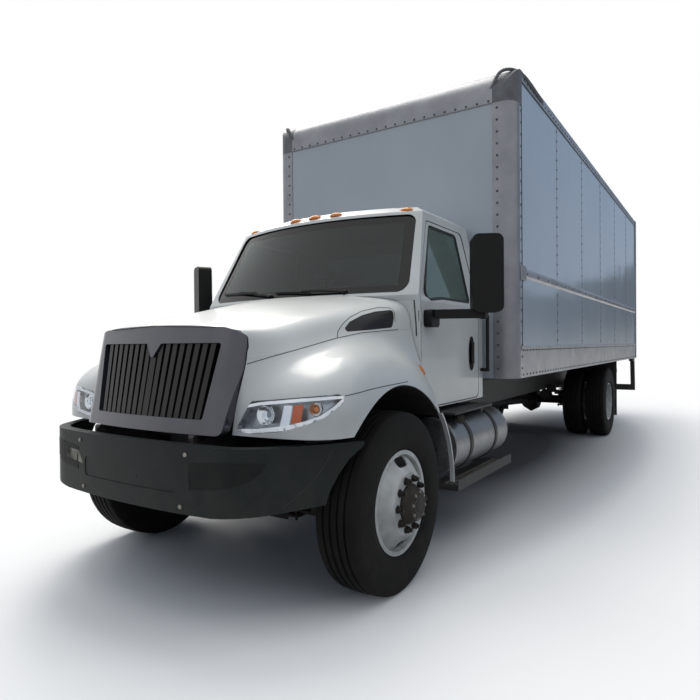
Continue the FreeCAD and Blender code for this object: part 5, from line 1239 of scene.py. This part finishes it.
def joint_line(name, pixels, body="hood", surfaces=("hood_panel", "fender_left", "grille_surround"),
               radius=0.0026):
    spots = []
    for (x0, y0), (x1, y1) in zip(pixels, pixels[1:]):
        count = max(1, round(math.hypot(x1 - x0, y1 - y0) / 4))
        for i in range(count + (x1 == pixels[-1][0])):
            spot, way = seen_at(x0 + (x1 - x0) * i / count, y0 + (y1 - y0) * i / count, *surfaces)
            spots.append(spot - way * radius * 0.2)
    tube(spots, radius)
    pair(name, body, seal_rubber)


joint_line("fender_joint_left", [(247, 364), (267, 358), (300, 348.8), (336, 338.3), (360, 333),
                                 (382, 330.8), (398, 329.6)])
joint_line("intake_joint_left", [(337, 338), (338, 331), (343, 323.5), (350, 317), (362, 311),
                                 (378, 307.5), (391, 308), (394.5, 312), (395, 322)])
joint_line("lower_fender_joint_left", [(345, 396), (358, 393), (370, 389.5), (383, 386.5), (396, 384),
                                       (408, 381.5)])
joint_line("cowl_joint_left", [(414, 300), (415, 312), (416, 324), (416.5, 336)], "truck",
           ["cab_shell"], 0.005)
print("joint lines on the hood and the cowl")

# %% [markdown]
# ## The van body's rivets, laps and rails
# The body is sheet on posts: about a thousand rivets hold it, and their rows give it its scale. One
# low dome is modelled with few faces and set along each row, 100 mm apart. Sheets are 4 ft wide, and
# overlap in a flat lap at each joint.

# %% Rivet rows
SIDE_X = 1.256
SKIRT_X = 1.2613
RAIL_X = 1.262
POST_FACE = 1.784
SHEET_WIDTH = 1.2192
BODY_FRONT = 1.984
BODY_BACK = 9.236
REAR_FACE = 9.346

rivet = lathe([(-0.001, 0.0105), (0.0015, 0.0105), (0.0042, 0.0078), (0.0056, 0.0035), (0.0058, 0)], 10)


def steps_between(first, last, pitch=0.1):
    count = int((last - first) / pitch + 0.5)
    return [first + (last - first) * i / count for i in range(count + 1)]


def column(x, station, heights):
    return [place(x, station, z) for z in heights]


def course(x, stations, z):
    return [place(x, station, z) for station in stations]


def both(spots, way):
    """Matrices for a row of rivets on the left, and for its mirror image on the right."""
    made = [facing(spot, way) for spot in spots]
    return made + [MIRROR @ matrix for matrix in made]


out_left = Vector((1, 0, 0))
ahead = Vector((0, -1, 0))
back = Vector((0, 1, 0))
sheet_joints = [BODY_FRONT + SHEET_WIDTH * i for i in range(1, 6)]
side_rows = []
for station in sheet_joints:
    side_rows += both(column(SIDE_X + 0.0015, station, steps_between(1.46, 1.92)), out_left)
    side_rows += both(column(SIDE_X + 0.0015, station, steps_between(2.14, 3.60)), out_left)
for height in (1.165, 1.375):
    side_rows += both(course(SKIRT_X, steps_between(2.0, 9.2), height), out_left)
side_rows += both(course(RAIL_X, steps_between(2.05, 9.2), 3.69), out_left)
side_rows += both(course(1.27, steps_between(2.1, 9.1, 0.35), 2.03), out_left)
post_rows = both(column(1.112, POST_FACE, steps_between(1.22, 3.40)), ahead)
post_rows += both(column(RAIL_X - 0.0004, 1.962, steps_between(1.22, 3.40)), out_left)
post_rows += [facing(place(x, POST_FACE, 3.468), ahead) for x in steps_between(-1.04, 1.04)]
rear_rows = both(column(1.205, REAR_FACE, steps_between(1.42, 3.68, 0.15)), back)
row_of(rivet, "side_rivets", "truck", side_rows, rivet_metal)
row_of(rivet, "post_rivets", "truck", post_rows, rivet_metal)
row_of(rivet, "rear_rivets", "truck", rear_rows, rivet_metal)
drop(rivet)
print("rivets:", len(side_rows) + len(post_rows) + len(rear_rows))

# %% Laps, edge beads and the top rail
joined([soft_block((SIDE_X - 0.0005, station - 0.022, low_z), (SIDE_X + 0.0015, station + 0.022, high_z),
                   0.0008, segments=1)
        for station in sheet_joints for low_z, high_z in ((1.402, 1.955), (2.085, 3.65))])
pair("sheet_laps_left", "truck", lap_enamel)
for name, radius, finish, *ends in (
        ("top_rail_lip_left", 0.003, seal_rubber, (RAIL_X - 0.001, BODY_FRONT + 0.01, 3.652),
         (RAIL_X - 0.001, BODY_BACK, 3.652)),
        ("post_sealant_left", 0.0035, sealant, (1.258, BODY_FRONT + 0.002, 1.15),
         (1.258, BODY_FRONT + 0.002, 3.70)),
        ("post_front_sealant_left", 0.004, sealant, (1.100, POST_FACE + 0.004, 1.15),
         (1.100, POST_FACE + 0.004, 3.44))):
    tube(places(*ends), radius, bent=False)
    pair(name, "truck", finish)
tube(places((-1.09, POST_FACE + 0.003, 3.449), (1.09, POST_FACE + 0.003, 3.449)), 0.004, bent=False)
settle("header_sealant", "truck", sealant)
print("laps and beads")

# %% [markdown]
# A bent steel tube guards each upper front corner from branches. It rises from the header, hugs the
# casting and runs a short way back along the roof's edge.

# %% Branch guards and rail ends
tube(places((1.05, 1.800, 3.56), (1.09, 1.788, 3.62), (1.13, 1.800, 3.70), (1.19, 1.845, 3.726),
            (1.240, 1.93, 3.729), (1.268, 2.05, 3.722), (1.272, 2.35, 3.712), (1.266, 2.62, 3.70)),
     0.014, roundness=2)
pair("branch_guard_left", "truck", casting_grey)
soft_block((1.257, 1.915, 1.968), (1.2745, 2.06, 2.092), 0.006, segments=3)
pair("rub_rail_end_left", "truck", mill_aluminium)
print("branch guards and rail ends")

# %% [markdown]
# ## The rear door's hardware
# The roll-up door closes with a lever and a hook at its foot, and has a pull strap. Rubber blocks on
# the sill meet the loading dock, and a grab bar stands on each side for the step.

# %% Rear hardware
plate = soft_block((-0.075, 9.2925, 1.36), (0.075, 9.301, 1.50), 0.004)
lever = soft_block((-0.014, 9.298, 1.375), (0.014, 9.318, 1.60), 0.006, segments=3)
hook = soft_block((-0.022, 9.298, 1.335), (0.022, 9.322, 1.385), 0.006)
pivot = lathe([(0, 0.022), (0.024, 0.022), (0.028, 0.016), (0.028, 0)], 24, place(0, 9.297, 1.43),
              axis=(0, 1, 0))
joined([plate, lever, hook, pivot])
settle("door_latch", "truck", zinc_steel)
soft_block((-0.05, 9.345, 1.245), (0.05, 9.356, 1.312), 0.003)
settle("latch_keeper", "truck", zinc_steel)
soft_block((0.28, 9.297, 1.34), (0.315, 9.300, 1.66), 0.001, segments=1)
settle("pull_strap", "truck", flap_rubber)
soft_block((0.84, REAR_FACE + 0.0003, 1.142), (1.20, REAR_FACE + 0.055, 1.205), 0.012, segments=3)
pair("dock_bumper_left", "truck", flap_rubber)
tube(places(*((1.175, REAR_FACE + out, z) for out, z in ((0, 1.42), (0.05, 1.44), (0.055, 1.60),
                                                         (0.055, 1.90), (0.05, 2.06), (0, 2.08)))),
     0.012, roundness=2)
pair("rear_grab_bar_left", "truck", zinc_steel)
small_dome = lamp_dome(0.034, 0.014, 0.013)
up_to_back = Matrix.Rotation(math.radians(-90), 4, "X")
red_spots = [Matrix.Translation(place(x, REAR_FACE - 0.001, 3.66)) @ up_to_back
             for x in (-0.15, 0, 0.15)]
header_lamps = row_of(small_dome, "rear_header_lamps", "truck", red_spots, red_lens)
drop(small_dome)
print("rear hardware")

# %% [markdown]
# ## Tank, steps and springs
# The tank has a welded seam near each end and a filler cap high on its front shoulder. The steps are
# punched for grip: a small dished ring is modelled once and set in rows. A step plate also lies over
# the tank. U-bolts clamp each spring pack to its axle.

# %% Tank and steps
TANK_X, TANK_Z, TANK_RADIUS = 0.945, 0.70, 0.205
for station, word in ((0.834, "front"), (1.866, "rear")):
    lathe([(-0.006, TANK_RADIUS - 0.001), (-0.004, TANK_RADIUS + 0.002), (0, TANK_RADIUS + 0.003),
           (0.004, TANK_RADIUS + 0.002), (0.006, TANK_RADIUS - 0.001)], 72,
          place(TANK_X, station, TANK_Z), axis=(0, 1, 0))
    settle("tank_weld_" + word, "truck", tank_metal)
lean = Vector((0.62, 0, 0.78)).normalized()
lathe([(-0.004, 0.050), (0.012, 0.050), (0.014, 0.058), (0.036, 0.058), (0.042, 0.053), (0.044, 0.046),
       (0.044, 0)], 40, place(TANK_X, 0.945, TANK_Z) + lean * TANK_RADIUS, axis=lean)
settle("filler_cap", "truck", dark_nut)

ring = lathe([(0, 0.013), (0.0025, 0.0115), (0.003, 0.010), (0.0022, 0.008), (0.0006, 0.0065),
              (0.0006, 0)], 12)
LOWER_STEP_Z, UPPER_STEP_Z = 0.44, 0.950
lower = [spot for x in (1.035, 1.075, 1.115)
         for spot in course(x, steps_between(0.88, 1.88, 0.04), LOWER_STEP_Z)]
row_of(ring, "lower_step_grip", "truck", both(lower, UP), zinc_steel)
tread = soft_block((0.90, 0.84, 0.930), (1.125, 1.60, 0.950), 0.006, segments=3)
joined([tread] + [soft_block((0.93, s, 0.895), (1.09, s + 0.035, 0.931), 0.004) for s in (0.96, 1.44)])
settle("upper_step_left", "truck", step_grey)
upper = [facing(spot, UP) for x in (0.95, 1.01, 1.07)
         for spot in course(x, steps_between(0.88, 1.56, 0.045), UPPER_STEP_Z)]
row_of(ring, "upper_step_grip", "truck", upper, step_grey)
drop(ring)
print("tank welds, cap and steps")

# %% U-bolts and brake chambers
ubolts = []
for x, station, axle in ((0.382, 0.0, "front_axle"), (0.495, REAR_STATION, "rear_axle")):
    top = solids["leaf_springs"].ray_cast(place(x, station + 0.05, 1.2), -UP)[0].z
    foot = solids[axle].ray_cast(place(x, station, 0), UP)[0].z - 0.012
    half = 0.046
    for s in (station - 0.07, station + 0.07):
        ubolts.append(tube(places((x - half, s, foot - 0.03), (x - half, s, top),
                                  (x - half + 0.012, s, top + 0.018), (x + half - 0.012, s, top + 0.018),
                                  (x + half, s, top), (x + half, s, foot - 0.03)), 0.009))
    ubolts.append(soft_block((x - half - 0.02, station - 0.09, foot - 0.012),
                             (x + half + 0.02, station + 0.09, foot + 0.004), 0.004))
joined(ubolts)
pair("spring_clamps_left", "truck", axle_iron)
lathe([(0, 0.03), (0.002, 0.075), (0.05, 0.080), (0.056, 0.088), (0.066, 0.088), (0.072, 0.080),
       (0.135, 0.078), (0.142, 0.086), (0.152, 0.086), (0.158, 0.076), (0.205, 0.068), (0.215, 0.05),
       (0.216, 0)], 40, place(0.30, REAR_STATION - 0.14, 0.60), axis=(0, -1, 0.12))
pair("brake_chamber_rear_left", "truck", chassis_black)
print("clamps and chambers")

# %% [markdown]
# ## Seats
# The cab's two seats are foam under cloth. Each cushion is blocked out a little small, remeshed so
# that the cloth has even threads, and blown up gently by a cloth simulation, which rounds it as foam
# does.

# %% Seats


def cushion(low, high, tilt):
    """A foam pad, inflated by a short cloth simulation."""
    pad = soft_block(low, high, 0.035, segments=3)
    if tilt:
        near, far = place(*low), place(*high)
        pivot = Vector(((near.x + far.x) / 2, far.y, near.z))
        pad.data.transform(Matrix.Translation(pivot) @ Matrix.Rotation(math.radians(tilt), 4, "X")
                           @ Matrix.Translation(-pivot))
    modifier = pad.modifiers.new("even", "REMESH")
    modifier.mode = "VOXEL"
    modifier.voxel_size = 0.012
    bpy.ops.object.modifier_apply(modifier="even")
    cloth = pad.modifiers.new("cloth", "CLOTH")
    cloth.settings.use_pressure = True
    cloth.settings.uniform_pressure_force = 4.0
    cloth.settings.effector_weights.gravity = 0.0
    cloth.settings.tension_stiffness = 40
    cloth.settings.compression_stiffness = 40
    cloth.point_cache.frame_start = 1
    cloth.point_cache.frame_end = 14
    for step in range(1, 15):
        bpy.context.scene.frame_set(step)
    bpy.ops.object.modifier_apply(modifier="cloth")
    bpy.context.scene.frame_set(1)


SEAT_INNER, SEAT_OUTER = 0.245, 0.715
for side, word in SIDES:
    low_x, high_x = sorted((side * SEAT_INNER, side * SEAT_OUTER))
    for name, low, high, tilt in (
            ("seat_cushion_", (low_x, 0.985, 1.345), (high_x, 1.44, 1.435), 0),
            ("seat_back_", (low_x + 0.01, 1.485, 1.47), (high_x - 0.01, 1.565, 2.02), -4.5),
            ("head_rest_", (low_x + 0.11, 1.525, 2.04), (high_x - 0.11, 1.590, 2.135), 0)):
        cushion(low, high, tilt)
        pad = settle(name + word, "truck", seat_cloth, angle=60)
        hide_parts("seats")
    middle = (low_x + high_x) / 2
    joined([tube(places((x, 1.545, 1.98), (x, 1.552, 2.08)), 0.006, bent=False)
            for x in (middle - 0.06, middle + 0.06)])
    settle("head_rest_posts_" + word, "truck", zinc_steel)
print("two seats, three pads each")
